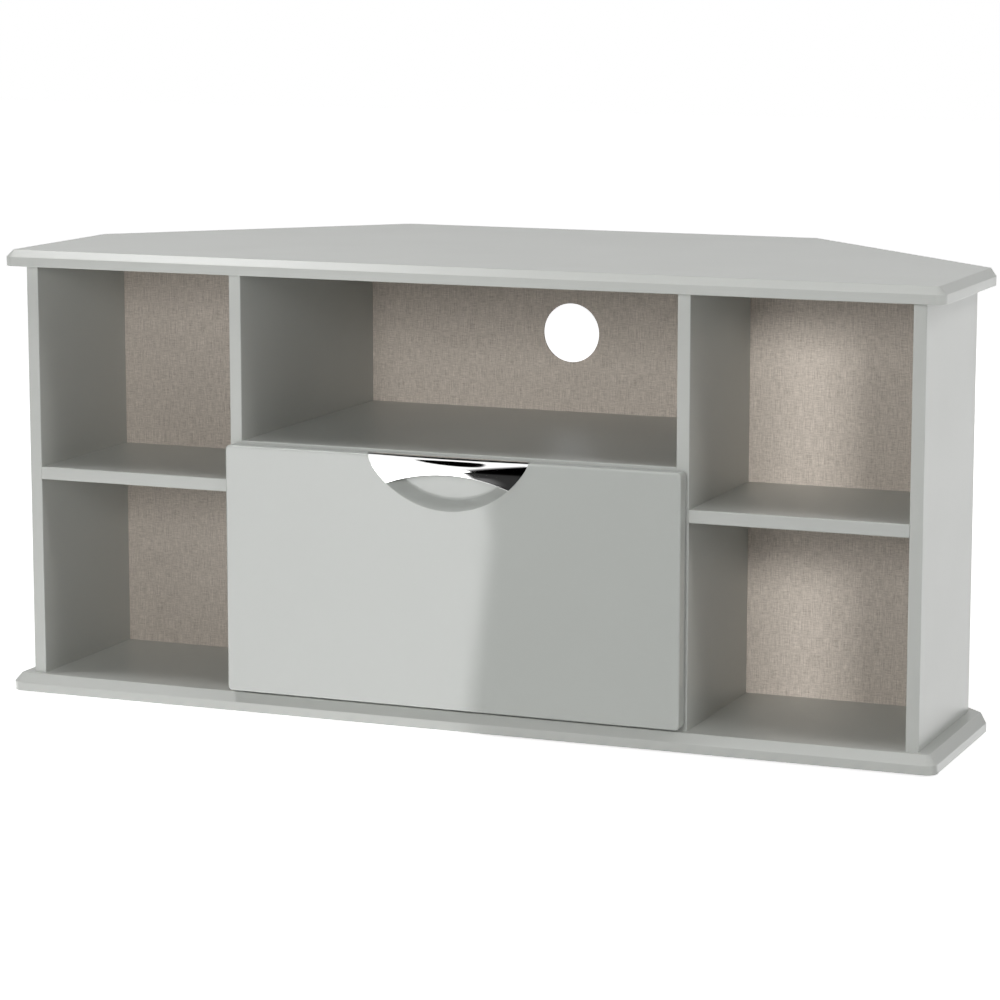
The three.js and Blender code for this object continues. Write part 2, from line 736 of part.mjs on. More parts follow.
// Drawer front with rounded corners and a rounded edge all round its face
function drawerFront() {
  const levels = [0];
  const insets = [0];
  for (let step = 0; step <= edgeSteps; step += 1) {
    const angle = (Math.PI / 2) * (step / edgeSteps);
    levels.push(drawerFrontThickness - drawerFrontEdgeRadius * (1 - Math.sin(angle)));
    insets.push(drawerFrontEdgeRadius * (1 - Math.cos(angle)));
  }
  const loops = insets.map((inset) => {
    const radius = drawerFrontCornerRadius - inset;
    const low = [inset - drawerFrontHalf, drawerFrontBottom + inset];
    const high = [drawerFrontHalf - inset, drawerFrontTop - inset];
    return rectangle(low, high, [radius, radius, radius, radius], arcSteps);
  });
  return { geometry: stack(loops, levels).applyMatrix4(along.front), at: [0, drawerBackY, 0] };
}

const bumper = rod(bumperRadius, -bumperThickness, 0, glideSides, 'front');
const bumperHeights = spread(bumperUpShares, drawerFrontBottom, drawerFrontTop);
const bumperPlaces = pairPlaces(dividerMiddleX, drawerBackY, bumperHeights);

// Assembly

const cabinet = new THREE.Group();
const carcass = new THREE.Group();
const drawer = new THREE.Group();
cabinet.add(carcass, drawer);

// Adds a piece at its place, less its holes and with its dowels, both given in the carcass frame
function add(parent, name, material, { geometry, at }, holes = [], studs = []) {
  const back = at.map((value) => -value);
  let shaped = geometry;
  if (holes.length + studs.length > 0) {
    shaped = moved(join([cut(moved(geometry, ...at), holes), ...studs]), ...back);
  }
  const mesh = new THREE.Mesh(shaped, material);
  mesh.name = name;
  mesh.position.set(...at);
  parent.add(mesh);
}

// Adds one piece of a shape at each of its named places
function addEach(parent, stem, material, geometry, places) {
  places.forEach(({ name, at }) => add(parent, `${stem}_${name}`, material, { geometry, at }));
}

const repeated = (shape, places) => places.map(({ at }) => moved(shape, ...at));
const shankHole = (radius, length, direction) => (
  rod(radius + screwClearance, -overrun, length + screwClearance, screwSides, direction));

add(carcass, 'top_board', finishes.lacquer, {
  geometry: board(boardFrontY, topThickness, topBevelWidth, topBevelHeight), at: [0, 0, uprightHeight],
}, boardDowelHoles);
add(carcass, 'base_board', finishes.lacquer, {
  geometry: board(baseFrontY, baseThickness, baseBevelWidth, baseBevelHeight), at: [0, 0, -baseThickness],
}, [...boardDowelHoles, ...glideHoles]);
const centreShelf = shelf(-bayHalf, bayHalf, centreBackY, centreShelfUnderside);
add(carcass, 'centre_shelf', finishes.lacquer, centreShelf, [],
  dowels(centreShelfDowelPlaces, dowelRadius, shelfDowelLength));
add(carcass, 'centre_back_panel', finishes.linen, centreBack());

bothSides.forEach((side) => {
  const label = sideName(side);
  const screws = channelScrewPlaces(side);
  const screwHoles = repeated(channelScrew(side, screwClearance), screws);
  add(carcass, `${label}_end_panel`, finishes.lacquer, endPanel(side), shelfDowelHoles,
    dowels(endPanelDowelPlaces(side), dowelRadius, uprightDowelLength));
  add(carcass, `${label}_divider`, finishes.lacquer, divider(side), [...shelfDowelHoles, ...screwHoles],
    dowels(dividerDowelPlaces(side), dowelRadius, uprightDowelLength));
  const sideShelf = shelf(...sideShelfEnds(side), sideBackY, sideShelfUnderside);
  add(carcass, `${label}_shelf`, finishes.lacquer, sideShelf, [],
    dowels(sideShelfDowelPlaces(side), dowelRadius, shelfDowelLength));
  add(carcass, `${label}_back_panel`, finishes.linen, sideBack(side));
  const channelHoles = [...screwHoles, rivetHole(side, frontRollerY)];
  add(carcass, `${label}_channel`, finishes.enamel, channel(side), channelHoles);
  add(carcass, `${label}_channel_rivet`, finishes.zinc, {
    geometry: rivet(side), at: [side * (bayHalf - rivetReach), frontRollerY, rollerAxisZ],
  });
  add(carcass, `${label}_front_roller`, finishes.nylon, {
    geometry: roller(), at: [side * (rollerOuterX - rollerWidth / 2), frontRollerY, rollerAxisZ],
  });
  addEach(carcass, `${label}_channel_screw`, finishes.zinc, channelScrew(side), screws);
});
addEach(carcass, 'floor_glide', finishes.glide, glide(), glidePlaces);

const frontScrewHole = shankHole(frontScrewRadius, frontScrewLength, 'front');
const frontScrewHoles = repeated(frontScrewHole, frontScrewPlaces);
const handleScrewHoles = repeated(handleScrew(screwClearance), handleScrewPlaces);

add(drawer, 'drawer_front', finishes.gloss, drawerFront(), [
  scoopCut, ...frontScrewHoles, ...handleScrewHoles,
]);
add(drawer, 'drawer_handle', finishes.chrome, { geometry: cap(), at: gripAt }, handleScrewHoles);
add(drawer, 'drawer_box_front', finishes.boxWrap, boxEnd(boxFrontY), [boxGroove, ...frontScrewHoles],
  dowels(boxFrontDowelPlaces, boxDowelRadius, boxDowelLength));
add(drawer, 'drawer_box_back', finishes.boxWrap, boxEnd(boxRearY - boxWallThickness), [boxGroove],
  dowels(boxBackDowelPlaces, boxDowelRadius, boxDowelLength));
add(drawer, 'drawer_bottom', finishes.boxWrap, { geometry: boxBottom(), at: [0, 0, boxBottomZ] });

bothSides.forEach((side) => {
  const label = sideName(side);
  const screws = railScrewPlaces(side);
  const screwHoles = repeated(shankHole(runnerScrewRadius, railScrewLength), screws);
  const sideHoles = [boxGroove, ...boxDowelHoles, ...screwHoles];
  add(drawer, `drawer_${label}_side`, finishes.boxWrap, boxSide(side), sideHoles);
  const railHoles = [...screwHoles, rivetHole(side, rearRollerY)];
  add(drawer, `${label}_rail`, finishes.enamel, rail(side), railHoles);
  add(drawer, `${label}_rail_rivet`, finishes.zinc, {
    geometry: rivet(-side), at: [side * (boxHalf + rivetReach), rearRollerY, rollerAxisZ],
  });
  add(drawer, `${label}_rear_roller`, finishes.nylon, {
    geometry: roller(), at: [side * (rearRollerInnerX + rollerWidth / 2), rearRollerY, rollerAxisZ],
  });
  addEach(drawer, `${label}_rail_screw`, finishes.zinc, railScrew, screws);
});

addEach(drawer, 'front_screw', finishes.zinc, frontScrew, frontScrewPlaces);
addEach(drawer, 'handle_screw', finishes.zinc, handleScrew(), handleScrewPlaces);
addEach(drawer, 'bumper', finishes.rubber, bumper, bumperPlaces);

// The origin goes to the middle of the footprint, on the floor
const bounds = new THREE.Box3().setFromObject(cabinet);
const centre = bounds.getCenter(new THREE.Vector3());
cabinet.position.set(-centre.x, -centre.y, -bounds.min.z);

export default cabinet;
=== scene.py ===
"""Looks of the corner television cabinet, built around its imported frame.

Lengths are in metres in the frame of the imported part: X runs to the right, Y to the back and
Z up from the floor. Sizes that a maker would state are written in millimetres.
"""
import json
import logging
import math
from collections.abc import Sequence
from dataclasses import dataclass
from enum import Enum

import bmesh
import bpy
import numpy as np
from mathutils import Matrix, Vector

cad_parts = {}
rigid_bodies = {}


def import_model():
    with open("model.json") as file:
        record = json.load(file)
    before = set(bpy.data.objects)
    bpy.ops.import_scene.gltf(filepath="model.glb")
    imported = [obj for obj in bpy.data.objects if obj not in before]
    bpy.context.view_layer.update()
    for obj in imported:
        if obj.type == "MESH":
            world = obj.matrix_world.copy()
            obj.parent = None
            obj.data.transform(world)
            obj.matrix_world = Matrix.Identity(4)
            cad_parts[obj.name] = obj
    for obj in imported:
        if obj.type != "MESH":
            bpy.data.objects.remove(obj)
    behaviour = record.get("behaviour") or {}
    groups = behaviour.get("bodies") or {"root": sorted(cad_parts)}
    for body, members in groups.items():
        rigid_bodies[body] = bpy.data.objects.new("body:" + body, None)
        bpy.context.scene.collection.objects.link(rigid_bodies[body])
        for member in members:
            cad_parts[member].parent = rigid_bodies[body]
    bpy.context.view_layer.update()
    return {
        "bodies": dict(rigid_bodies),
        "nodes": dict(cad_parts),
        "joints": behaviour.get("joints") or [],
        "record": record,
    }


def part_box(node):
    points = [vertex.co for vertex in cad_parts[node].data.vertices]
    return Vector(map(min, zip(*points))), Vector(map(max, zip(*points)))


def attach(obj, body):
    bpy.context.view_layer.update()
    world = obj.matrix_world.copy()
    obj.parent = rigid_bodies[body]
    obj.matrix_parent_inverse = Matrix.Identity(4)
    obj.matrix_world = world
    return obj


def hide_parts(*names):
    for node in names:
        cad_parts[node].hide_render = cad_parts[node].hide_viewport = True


LOG = logging.getLogger("cabinet")
MM = 0.001
WELD_DISTANCE = 0.000001
CARCASS = "carcass"
DRAWER = "drawer"

# The carcass frame of the part's source, which starts at the uprights' front edges and at the
# top face of the base board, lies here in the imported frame
CARCASS_Y = -231.4945
CARCASS_Z = 23.3

# Sizes that several sub-assemblies share, in millimetres
UPRIGHT_HEIGHT = 474.3
END_PANEL_DEPTH = 208.5
DIVIDER_DEPTH = 361.5
BAY_WIDTH = 516
BACK_THICKNESS = 2.5
DRAWER_TOP = 284.3
DRAWER_FRONT_THICKNESS = 18
DRAWER_FRONT_GAP = 1.5

Colour = tuple[float, float, float]


def tone(red: int, green: int, blue: int) -> Colour:
    """Turns a display colour into linear light.

    Args:
        red: Red channel, 0 to 255.
        green: Green channel, 0 to 255.
        blue: Blue channel, 0 to 255.

    Returns:
        The three channels, 0 to 1.
    """
    shares = np.array([red, green, blue]) / 255
    linear = np.where(shares <= 0.04045, shares / 12.92, ((shares + 0.055) / 1.055) ** 2.4)
    return tuple(float(share) for share in linear)


# Surfaces


class Along(Enum):
    """Direction that an outline is carried along, as rows that turn (u, v, w) into (x, y, z)."""

    UP = ((1, 0, 0), (0, 1, 0), (0, 0, 1))
    RIGHT = ((0, 1, 0), (0, 0, 1), (1, 0, 0))
    FRONT = ((1, 0, 0), (0, 0, 1), (0, -1, 0))
    BACK = ((-1, 0, 0), (0, 0, 1), (0, 1, 0))

    def carry(self, points: np.ndarray) -> np.ndarray:
        """Returns (..., 3) points of (u, v, w) as points of (x, y, z)."""
        return points @ np.array(self.value, float)


@dataclass
class Surface:
    """A surface as its points, in millimetres, and its faces, as lists of point numbers."""

    points: np.ndarray
    faces: list[list[int]]

    def moved(self, x: float, y: float, z: float) -> "Surface":
        """Returns the surface shifted by a distance along each axis."""
        return Surface(self.points + np.array([x, y, z]), self.faces)

    def joined(self, *others: "Surface") -> "Surface":
        """Joins surfaces into one.

        Args:
            others: The surfaces to add to this one.

        Returns:
            One surface that holds them all.
        """
        points, faces = [self.points], list(self.faces)
        count = len(self.points)
        for other in others:
            points.append(other.points)
            faces.extend([[index + count for index in face] for face in other.faces])
            count += len(other.points)
        return Surface(np.concatenate(points), faces)


def unit(vectors: np.ndarray) -> np.ndarray:
    """Returns vectors of length 1 in the same directions."""
    return vectors / np.linalg.norm(vectors, axis=-1, keepdims=True)


def directions(angles: np.ndarray) -> np.ndarray:
    """Returns (cosine, sine) rows of angles in radians."""
    return np.stack([np.cos(angles), np.sin(angles)], axis=-1)


def arc(start: float, end: float, steps: int) -> np.ndarray:
    """Returns (cosine, sine) rows of angles in equal steps, given in degrees."""
    return directions(np.radians(np.linspace(start, end, steps + 1)))


def circles(radii: np.ndarray, sides: int) -> np.ndarray:
    """Returns flat circles about the origin, one for each radius."""
    angles = np.linspace(0, 2 * math.pi, sides, endpoint=False)
    return radii[:, None, None] * directions(angles)


def rounded(corners: np.ndarray, radii: np.ndarray, steps: int = 5) -> np.ndarray:
    """Rounds the corners of closed outlines.

    Each corner becomes an arc that touches both of its edges. The arc's centre lies on the
    corner's bisector, at radius / sin(half the corner's angle), and the arc turns in equal steps
    from the touching point on the edge before the corner to the one on the edge after it.

    Args:
        corners: Corners of one outline, or of several alike, as (..., corners, 2).
        radii: Radius at each corner, as (..., corners).
        steps: Steps of each arc.

    Returns:
        The outlines as (..., points, 2). A corner without a radius stays one point.
    """
    before = unit(np.roll(corners, 1, axis=-2) - corners)
    after = unit(np.roll(corners, -1, axis=-2) - corners)
    half = np.arccos(np.clip((before * after).sum(-1), -1, 1)) / 2
    centre = corners + unit(before + after) * (radii / np.sin(half))[..., None]
    start = corners + before * (radii / np.tan(half))[..., None] - centre
    cross = before[..., 0] * after[..., 1] - before[..., 1] * after[..., 0]
    turn = (np.sign(cross) * (2 * half - math.pi))[..., None] * np.linspace(0, 1, steps + 1)
    across = start[..., :1] * np.cos(turn) - start[..., 1:] * np.sin(turn)
    along = start[..., :1] * np.sin(turn) + start[..., 1:] * np.cos(turn)
    points = centre[..., None, :] + np.stack([across, along], axis=-1)
    round_corners = (radii > 0).reshape(-1, radii.shape[-1]).any(axis=0)
    keep = np.repeat(round_corners, steps + 1)
    keep[:: steps + 1] = True
    return points.reshape(*corners.shape[:-2], -1, 2)[..., keep, :]


def rectangle(low: Sequence[float], high: Sequence[float],
              radii: Sequence[float]) -> np.ndarray:
    """Makes a rectangle's outline, counter-clockwise from its low corner on.

    Args:
        low: Its low corner.
        high: Its high corner.
        radii: Radius of each corner, in the outline's order.

    Returns:
        The outline as (points, 2).
    """
    corners = np.array([[low[0], low[1]], [high[0], low[1]], [high[0], high[1]],
                        [low[0], high[1]]], float)
    return rounded(corners, np.array(radii, float))


def skin(rings: np.ndarray, capped: bool = True) -> Surface:
    """Joins closed rings of points into one surface.

    Point j of ring i is joined with point j + 1 and with the same points of ring i + 1, so each
    face is a cell of the grid of ring number and point number.

    Args:
        rings: Points as (rings, points, 3), counter-clockwise seen from the last ring.
        capped: Closes the first and the last ring with flat faces.

    Returns:
        The surface, with its faces turned outwards.
    """
    count, size = rings.shape[:2]
    low = (np.arange(count - 1) * size)[:, None]
    here = np.arange(size)[None, :]
    following = (here + 1) % size
    cells = np.stack([low + here, low + following, low + size + following, low + size + here], -1)
    faces = cells.reshape(-1, 4).tolist()
    if capped:
        faces.append(list(range(size))[::-1])
        faces.append(list(range((count - 1) * size, count * size)))
    return Surface(rings.reshape(-1, 3), faces)


def looped(rings: np.ndarray) -> Surface:
    """Joins closed rings of points as skin() does, and the last ring with the first.

    Args:
        rings: Points as (rings, points, 3).

    Returns:
        The surface, closed like a tyre.
    """
    surface = skin(np.concatenate([rings, rings[:1]]), capped=False)
    count = rings.shape[0] * rings.shape[1]
    faces = [[index % count for index in face] for face in surface.faces]
    return Surface(surface.points[:count], faces)


def levelled(outlines: np.ndarray, levels: Sequence[float], along: Along) -> np.ndarray:
    """Returns rings for skin(): each flat outline at its level along a direction."""
    heights = np.broadcast_to(np.array(levels, float)[:, None, None], (*outlines.shape[:-1], 1))
    return along.carry(np.concatenate([outlines, heights], axis=-1))


def extruded(outline: np.ndarray, start: float, end: float, along: Along) -> Surface:
    """Carries a flat outline from one level to another along a direction."""
    return skin(levelled(np.stack([outline, outline]), [start, end], along))


def turned(profile: np.ndarray, sides: int, along: Along) -> Surface:
    """Turns a profile of (radius, height) rows about its axis.

    A point is radius * cos(angle), radius * sin(angle), height, over angle and profile row.
    """
    return skin(levelled(circles(profile[:, 0], sides), profile[:, 1], along))


# Shaders


class Signal:
    """A shader socket that reads as a number in Python expressions."""

    def __init__(self, graph: "Graph", socket: bpy.types.NodeSocket) -> None:
        """Wraps an output socket of a graph."""
        self.graph = graph
        self.socket = socket

    def maths(self, operation: str, *values: "Signal | float", clamp: bool = False) -> "Signal":
        """Adds a Math node of this signal and other values.

        Args:
            operation: The node's operation.
            values: The values after this signal.
            clamp: Holds the result between 0 and 1.

        Returns:
            The node's output.
        """
        inputs = dict(enumerate((self, *values)))
        settings = {"operation": operation, "use_clamp": clamp}
        return self.graph.value("ShaderNodeMath", settings, inputs)

    def __add__(self, other: "Signal | float") -> "Signal":
        """Returns the sum."""
        return self.maths("ADD", other)

    __radd__ = __add__

    def __mul__(self, other: "Signal | float") -> "Signal":
        """Returns the product."""
        return self.maths("MULTIPLY", other)

    __rmul__ = __mul__

    def __sub__(self, other: "Signal | float") -> "Signal":
        """Returns the difference."""
        return self.maths("SUBTRACT", other)

    def __rsub__(self, other: float) -> "Signal":
        """Returns a number less this signal."""
        inputs = {0: other, 1: self}
        return self.graph.value("ShaderNodeMath", {"operation": "SUBTRACT"}, inputs)

    def __truediv__(self, other: "Signal | float") -> "Signal":
        """Returns the quotient."""
        return self.maths("DIVIDE", other)

    def __pow__(self, other: "Signal | float") -> "Signal":
        """Returns the power."""
        return self.maths("POWER", other)

    def __gt__(self, other: "Signal | float") -> "Signal":
        """Returns 1 where this signal is the greater, and 0 elsewhere."""
        return self.maths("GREATER_THAN", other)

    def clamped(self) -> "Signal":
        """Returns the signal held between 0 and 1."""
        return self.maths("ADD", 0.0, clamp=True)

    def smooth(self, low: float, high: float) -> "Signal":
        """Adds a smooth step.

        Args:
            low: Value up to which the step is 0.
            high: Value from which it is 1.

        Returns:
            The step, 0 to 1.
        """
        settings = {"interpolation_type": "SMOOTHSTEP"}
        inputs = {"Value": self, "From Min": low, "From Max": high, "To Min": 0.0, "To Max": 1.0}
        return self.graph.value("ShaderNodeMapRange", settings, inputs)


class Graph:
    """The node tree of one material or of the world."""

    def __init__(self, tree: bpy.types.NodeTree) -> None:
        """Starts an empty graph in a node tree."""
        self.tree = tree
        self.tree.nodes.clear()

    def node(self, kind: str, settings: dict | None = None,
             inputs: dict | None = None) -> bpy.types.Node:
        """Adds a node.

        Args:
            kind: Type of the node.
            settings: Values of the node itself, which are set first.
            inputs: Values or links of its sockets, by name or by number.

        Returns:
            The node.
        """
        node = self.tree.nodes.new(kind)
        for name, value in (settings or {}).items():
            setattr(node, name, value)
        for key, value in (inputs or {}).items():
            socket = node.inputs[key]
            if isinstance(value, Signal):
                self.tree.links.new(value.socket, socket)
            elif isinstance(value, bpy.types.NodeSocket):
                self.tree.links.new(value, socket)
            elif socket.type == "RGBA" and len(value) == 3:
                socket.default_value = (*value, 1.0)
            else:
                socket.default_value = value
        return node

    def value(self, kind: str, settings: dict | None = None, inputs: dict | None = None,
              output: int | str = 0) -> Signal:
        """Adds a node and returns one of its outputs as a signal."""
        return Signal(self, self.node(kind, settings, inputs).outputs[output])

    def mixed(self, share: Signal | float, low: Signal | Colour, high: Signal | Colour,
              blend: str = "MIX") -> Signal:
        """Returns the mix of two colours by a share of the second."""
        settings = {"data_type": "RGBA", "blend_type": blend}
        return self.value("ShaderNodeMix", settings, {0: share, 6: low, 7: high}, 2)

    def place(self) -> Signal:
        """Returns the place on the piece, in metres."""
        return self.value("ShaderNodeTexCoord", None, None, "Object")

    def scaled(self, vector: Signal, scale: Sequence[float]) -> Signal:
        """Returns a vector with its three parts multiplied."""
        return self.value("ShaderNodeVectorMath", {"operation": "MULTIPLY"}, {0: vector, 1: scale})

    def parts(self, vector: Signal) -> tuple[Signal, Signal, Signal]:
        """Returns the three parts of a vector."""
        node = self.node("ShaderNodeSeparateXYZ", None, {0: vector})
        return tuple(Signal(self, output) for output in node.outputs)

    def joined(self, x: Signal | float, y: Signal | float, z: Signal | float) -> Signal:
        """Returns a vector of three values."""
        return self.value("ShaderNodeCombineXYZ", None, {0: x, 1: y, 2: z})

    def bump(self, height: Signal, depth: float) -> Signal:
        """Returns the surface's normal, tilted by a height of 0 to 1 over a depth in metres."""
        inputs = {"Height": height, "Strength": 1.0, "Distance": depth}
        return self.value("ShaderNodeBump", None, inputs)


# Finishes


@dataclass(frozen=True)
class Noise:
    """A noise of 0 to 1, by its grains to the metre, alike or along each axis, and its detail."""

    grains: float | tuple[float, float, float]
    detail: float = 1.0
    roughness: float = 0.5

    def over(self, graph: Graph, place: Signal) -> Signal:
        """Adds the noise to a graph.

        Args:
            graph: The graph.
            place: Place to read the noise at.

        Returns:
            The noise, 0 to 1.
        """
        scale = self.grains
        if isinstance(scale, tuple):
            place, scale = graph.scaled(place, scale), 1.0
        inputs = {"Vector": place, "Scale": scale, "Detail": self.detail,
                  "Roughness": self.roughness}
        return graph.value("ShaderNodeTexNoise", {"normalize": True}, inputs)


ShaderInputs = dict[str, Signal | Colour | float]


@dataclass(frozen=True)
class Finish:
    """A surface finish. Each kind adds its own colours, detail and gloss."""

    name: str
    slot: str

    def material(self) -> bpy.types.Material:
        """Makes the finish's material, or finds the one made before.

        Returns:
            The material.
        """
        made = bpy.data.materials.get(self.name)
        if made is None:
            made = bpy.data.materials.new(self.name)
            made.use_nodes = True
            graph = Graph(made.node_tree)
            inputs = self.inputs(graph, graph.place())
            shader = graph.node("ShaderNodeBsdfPrincipled", None, inputs)
            graph.node("ShaderNodeOutputMaterial", None, {"Surface": shader.outputs[0]})
        return made

    def inputs(self, graph: Graph, place: Signal) -> ShaderInputs:
        """Adds the finish's nodes to a graph.

        Args:
            graph: The material's graph.
            place: Place on the piece, in metres.

        Returns:
            What feeds the shader, by the names of its inputs.
        """
        raise NotImplementedError


@dataclass(frozen=True)
class SatinLacquer(Finish):
    """Sprayed satin lacquer: even colour, faint clouding, and the pebbling of a spray gun."""

    colour: Colour = tone(196, 198, 194)
    cloud: Colour = tone(193, 195, 191)
    clouds: Noise = Noise(9.0, 3.0)
    pebbles: Noise = Noise(420.0, 2.0)
    specks: Noise = Noise(1800.0)
    speck_fade: tuple[float, float] = (0.66, 0.78)
    speck_share: float = 0.25
    roughness: float = 0.36
    cloud_roughness: float = 0.06
    speck_roughness: float = 0.08
    pebble_depth: float = 0.012 * MM

    def inputs(self, graph: Graph, place: Signal) -> ShaderInputs:
        """Clouds the colour over hand-sized patches and pebbles the surface at 2 mm.

        Args:
            graph: The material's graph.
            place: Place on the piece, in metres.

        Returns:
            What feeds the shader, by the names of its inputs.
        """
        clouds = self.clouds.over(graph, place)
        specks = self.specks.over(graph, place).smooth(*self.speck_fade)
        colour = graph.mixed(clouds, self.colour, self.cloud)
        rough = self.roughness + (clouds - 0.5) * self.cloud_roughness
        return {
            "Base Color": graph.mixed(specks * self.speck_share, colour, self.cloud),
            "Roughness": rough + specks * self.speck_roughness,
            "Normal": graph.bump(self.pebbles.over(graph, place), self.pebble_depth),
            "IOR": 1.5,
        }


@dataclass(frozen=True)
class GlossLacquer(Finish):
    """High gloss lacquer, polished so far that only long, shallow waves are left in it."""

    colour: Colour = tone(191, 194, 190)
    cloud: Colour = tone(189, 192, 188)
    clouds: Noise = Noise(7.0, 2.0)
    waves: Noise = Noise(48.0)
    haze: Noise = Noise(260.0, 3.0)
    roughness: float = 0.035
    haze_roughness: float = 0.02
    wave_depth: float = 0.008 * MM

    def inputs(self, graph: Graph, place: Signal) -> ShaderInputs:
        """Waves the surface over 20 mm and lets fine polishing haze vary the gloss.

        Args:
            graph: The material's graph.
            place: Place on the piece, in metres.

        Returns:
            What feeds the shader, by the names of its inputs.
        """
        haze = self.haze.over(graph, place)
        return {
            "Base Color": graph.mixed(self.clouds.over(graph, place), self.colour, self.cloud),
            "Roughness": self.roughness + haze * self.haze_roughness,
            "Normal": graph.bump(self.waves.over(graph, place), self.wave_depth),
            "IOR": 1.5,
        }


@dataclass(frozen=True)
class LinenBoard(Finish):
    """Hardboard with a linen-print face, and its bare brown fibres on the back."""

    thread: Colour = tone(217, 207, 196)
    shade: Colour = tone(145, 136, 127)
    fibre: Colour = tone(171, 136, 99)
    fibre_dark: Colour = tone(140, 106, 73)
    warp_width: float = 0.62 * MM
    warp_length: float = 19 * MM
    weft_width: float = 0.66 * MM
    weft_length: float = 12 * MM
    wander: Noise = Noise(45.0, 2.0)
    wander_reach: float = 0.5 * MM
    slubs: Noise = Noise(1.0, 1.0, 0.6)
    fine: Noise = Noise(1.0)
    thread_fade: tuple[float, float] = (0.28, 0.72)
    mottle: Noise = Noise(14.0, 3.0)
    fibres: Noise = Noise(700.0, 6.0, 0.75)
    fibre_fade: tuple[float, float] = (0.3, 0.7)
    weave_depth: float = 0.05 * MM

    def inputs(self, graph: Graph, place: Signal) -> ShaderInputs:
        """Crosses warp and weft threads of uneven thickness and tint, slubs among them.

        Args:
            graph: The material's graph.
            place: Place on the piece, in metres.

        Returns:
            What feeds the shader, by the names of its inputs.
        """
        x, _, z = graph.parts(place)
        wander = self.wander.over(graph, place) * self.wander_reach
        warp = self._threads(graph, (x + wander) / self.warp_width, z / self.warp_length)
        weft = self._threads(graph, (z + wander) / self.weft_width, x / self.weft_length)
        weave = (warp * 0.54 + weft * 0.46).clamped()
        colour = graph.mixed(weave, self.shade, self.thread)
        shade = 0.95 + self.mottle.over(graph, place) * 0.1
        colour = graph.mixed(1.0, colour, graph.joined(shade, shade, shade), "MULTIPLY")
        fibres = self.fibres.over(graph, place).smooth(*self.fibre_fade)
        bare = graph.mixed(fibres, self.fibre_dark, self.fibre)
        facing = graph.parts(graph.value("ShaderNodeNewGeometry", None, None, "Normal"))[1]
        behind = facing > 0.5
        return {
            "Base Color": graph.mixed(behind, colour, bare),
            "Roughness": 0.62 + behind * 0.2,
            "Normal": graph.bump(weave, self.weave_depth),
            "IOR": 1.45,
        }

    def _threads(self, graph: Graph, across: Signal, along: Signal) -> Signal:
        """Adds threads that run along one direction.

        Args:
            graph: The material's graph.
            across: Place across the threads, in thread widths.
            along: Place along the threads, in the lengths over which each thickens and thins.

        Returns:
            The threads, 0 to 1.
        """
        slub = self.slubs.over(graph, graph.joined(across, along, 0.0))
        fine = self.fine.over(graph, graph.joined(across * 1.7, along * 4.0, 3.7))
        return (slub * 0.6 + fine * 0.4).smooth(*self.thread_fade)


@dataclass(frozen=True)
class Coated(Finish):
    """A coat that stains tint, fine marks dull, and a relief roughens.

    Its roughness is given without marks and as what full marks add.
    """

    colour: Colour
    stain: Colour
    stains: Noise
    marks: Noise
    roughness: tuple[float, float]
    stain_fade: tuple[float, float] | None = None
    stain_share: float = 1.0
    relief: Noise | None = None
    relief_depth: float = 0.0
    metallic: float = 0.0

    def inputs(self, graph: Graph, place: Signal) -> ShaderInputs:
        """Tints the coat by its stains and varies its gloss by its marks.

        Args:
            graph: The material's graph.
            place: Place on the piece, in metres.

        Returns:
            What feeds the shader, by the names of its inputs.
        """
        stained = self.stains.over(graph, place)
        if self.stain_fade:
            stained = stained.smooth(*self.stain_fade) * self.stain_share
        smooth, added = self.roughness
        inputs = {
            "Base Color": graph.mixed(stained, self.colour, self.stain),
            "Metallic": self.metallic,
            "Roughness": smooth + self.marks.over(graph, place) * added,
        }
        if self.relief:
            inputs["Normal"] = graph.bump(self.relief.over(graph, place), self.relief_depth)
        return inputs


def moulded(name: str, slot: str, colour: Colour, dust: Colour, roughness: float) -> Coated:
    """Makes moulded plastic or rubber: a spark-eroded grain, greyed in soft patches.

    Args:
        name: Name of the material.
        slot: The record's material slot.
        colour: Its colour.
        dust: Colour of its greyed patches.
        roughness: Its roughness without the grain.

    Returns:
        The finish.
    """
    grain = Noise(2600.0)
    return Coated(name, slot, colour, dust, stains=Noise(130.0, 3.0), stain_fade=(0.45, 0.75),
                  marks=grain, roughness=(roughness, 0.12), relief=grain,
                  relief_depth=0.01 * MM)


LACQUER = SatinLacquer("satin_lacquer", "lacquer")
GLOSS = GlossLacquer("gloss_lacquer", "gloss")
LINEN = LinenBoard("linen_board", "linen")

# Bright chrome plate over a polished casting, its buffing marks drawn out along the lip
CHROME = Coated("chrome_plate", "chrome", (0.86, 0.86, 0.855), tone(232, 232, 231),
                stains=Noise(35.0, 2.0), marks=Noise((60, 400, 1400), 3.0),
                roughness=(0.02, 0.012), metallic=1.0)

# Pale paper-wrapped board of a drawer box, with a faint grain along X and Y
BOX_GRAIN = Noise((18, 18, 900), 4.0, 0.6)
WRAP = Coated("wrapped_board", "box_wrap", tone(221, 219, 212), tone(209, 206, 197),
              stains=BOX_GRAIN, stain_fade=(0.35, 0.7), marks=Noise(1500.0),
              roughness=(0.48, 0.1), relief=BOX_GRAIN, relief_depth=0.02 * MM)

# Cream enamel baked on folded steel, with rubbed tracks where rollers run
TRACKS = Noise((900, 25, 900), 3.0)
ENAMEL = Coated("stove_enamel", "enamel", tone(232, 230, 221), tone(186, 184, 177),
                stains=TRACKS, stain_fade=(0.62, 0.75), stain_share=0.5, marks=TRACKS,
                roughness=(0.35, 0.15), relief=Noise(700.0), relief_depth=0.015 * MM)

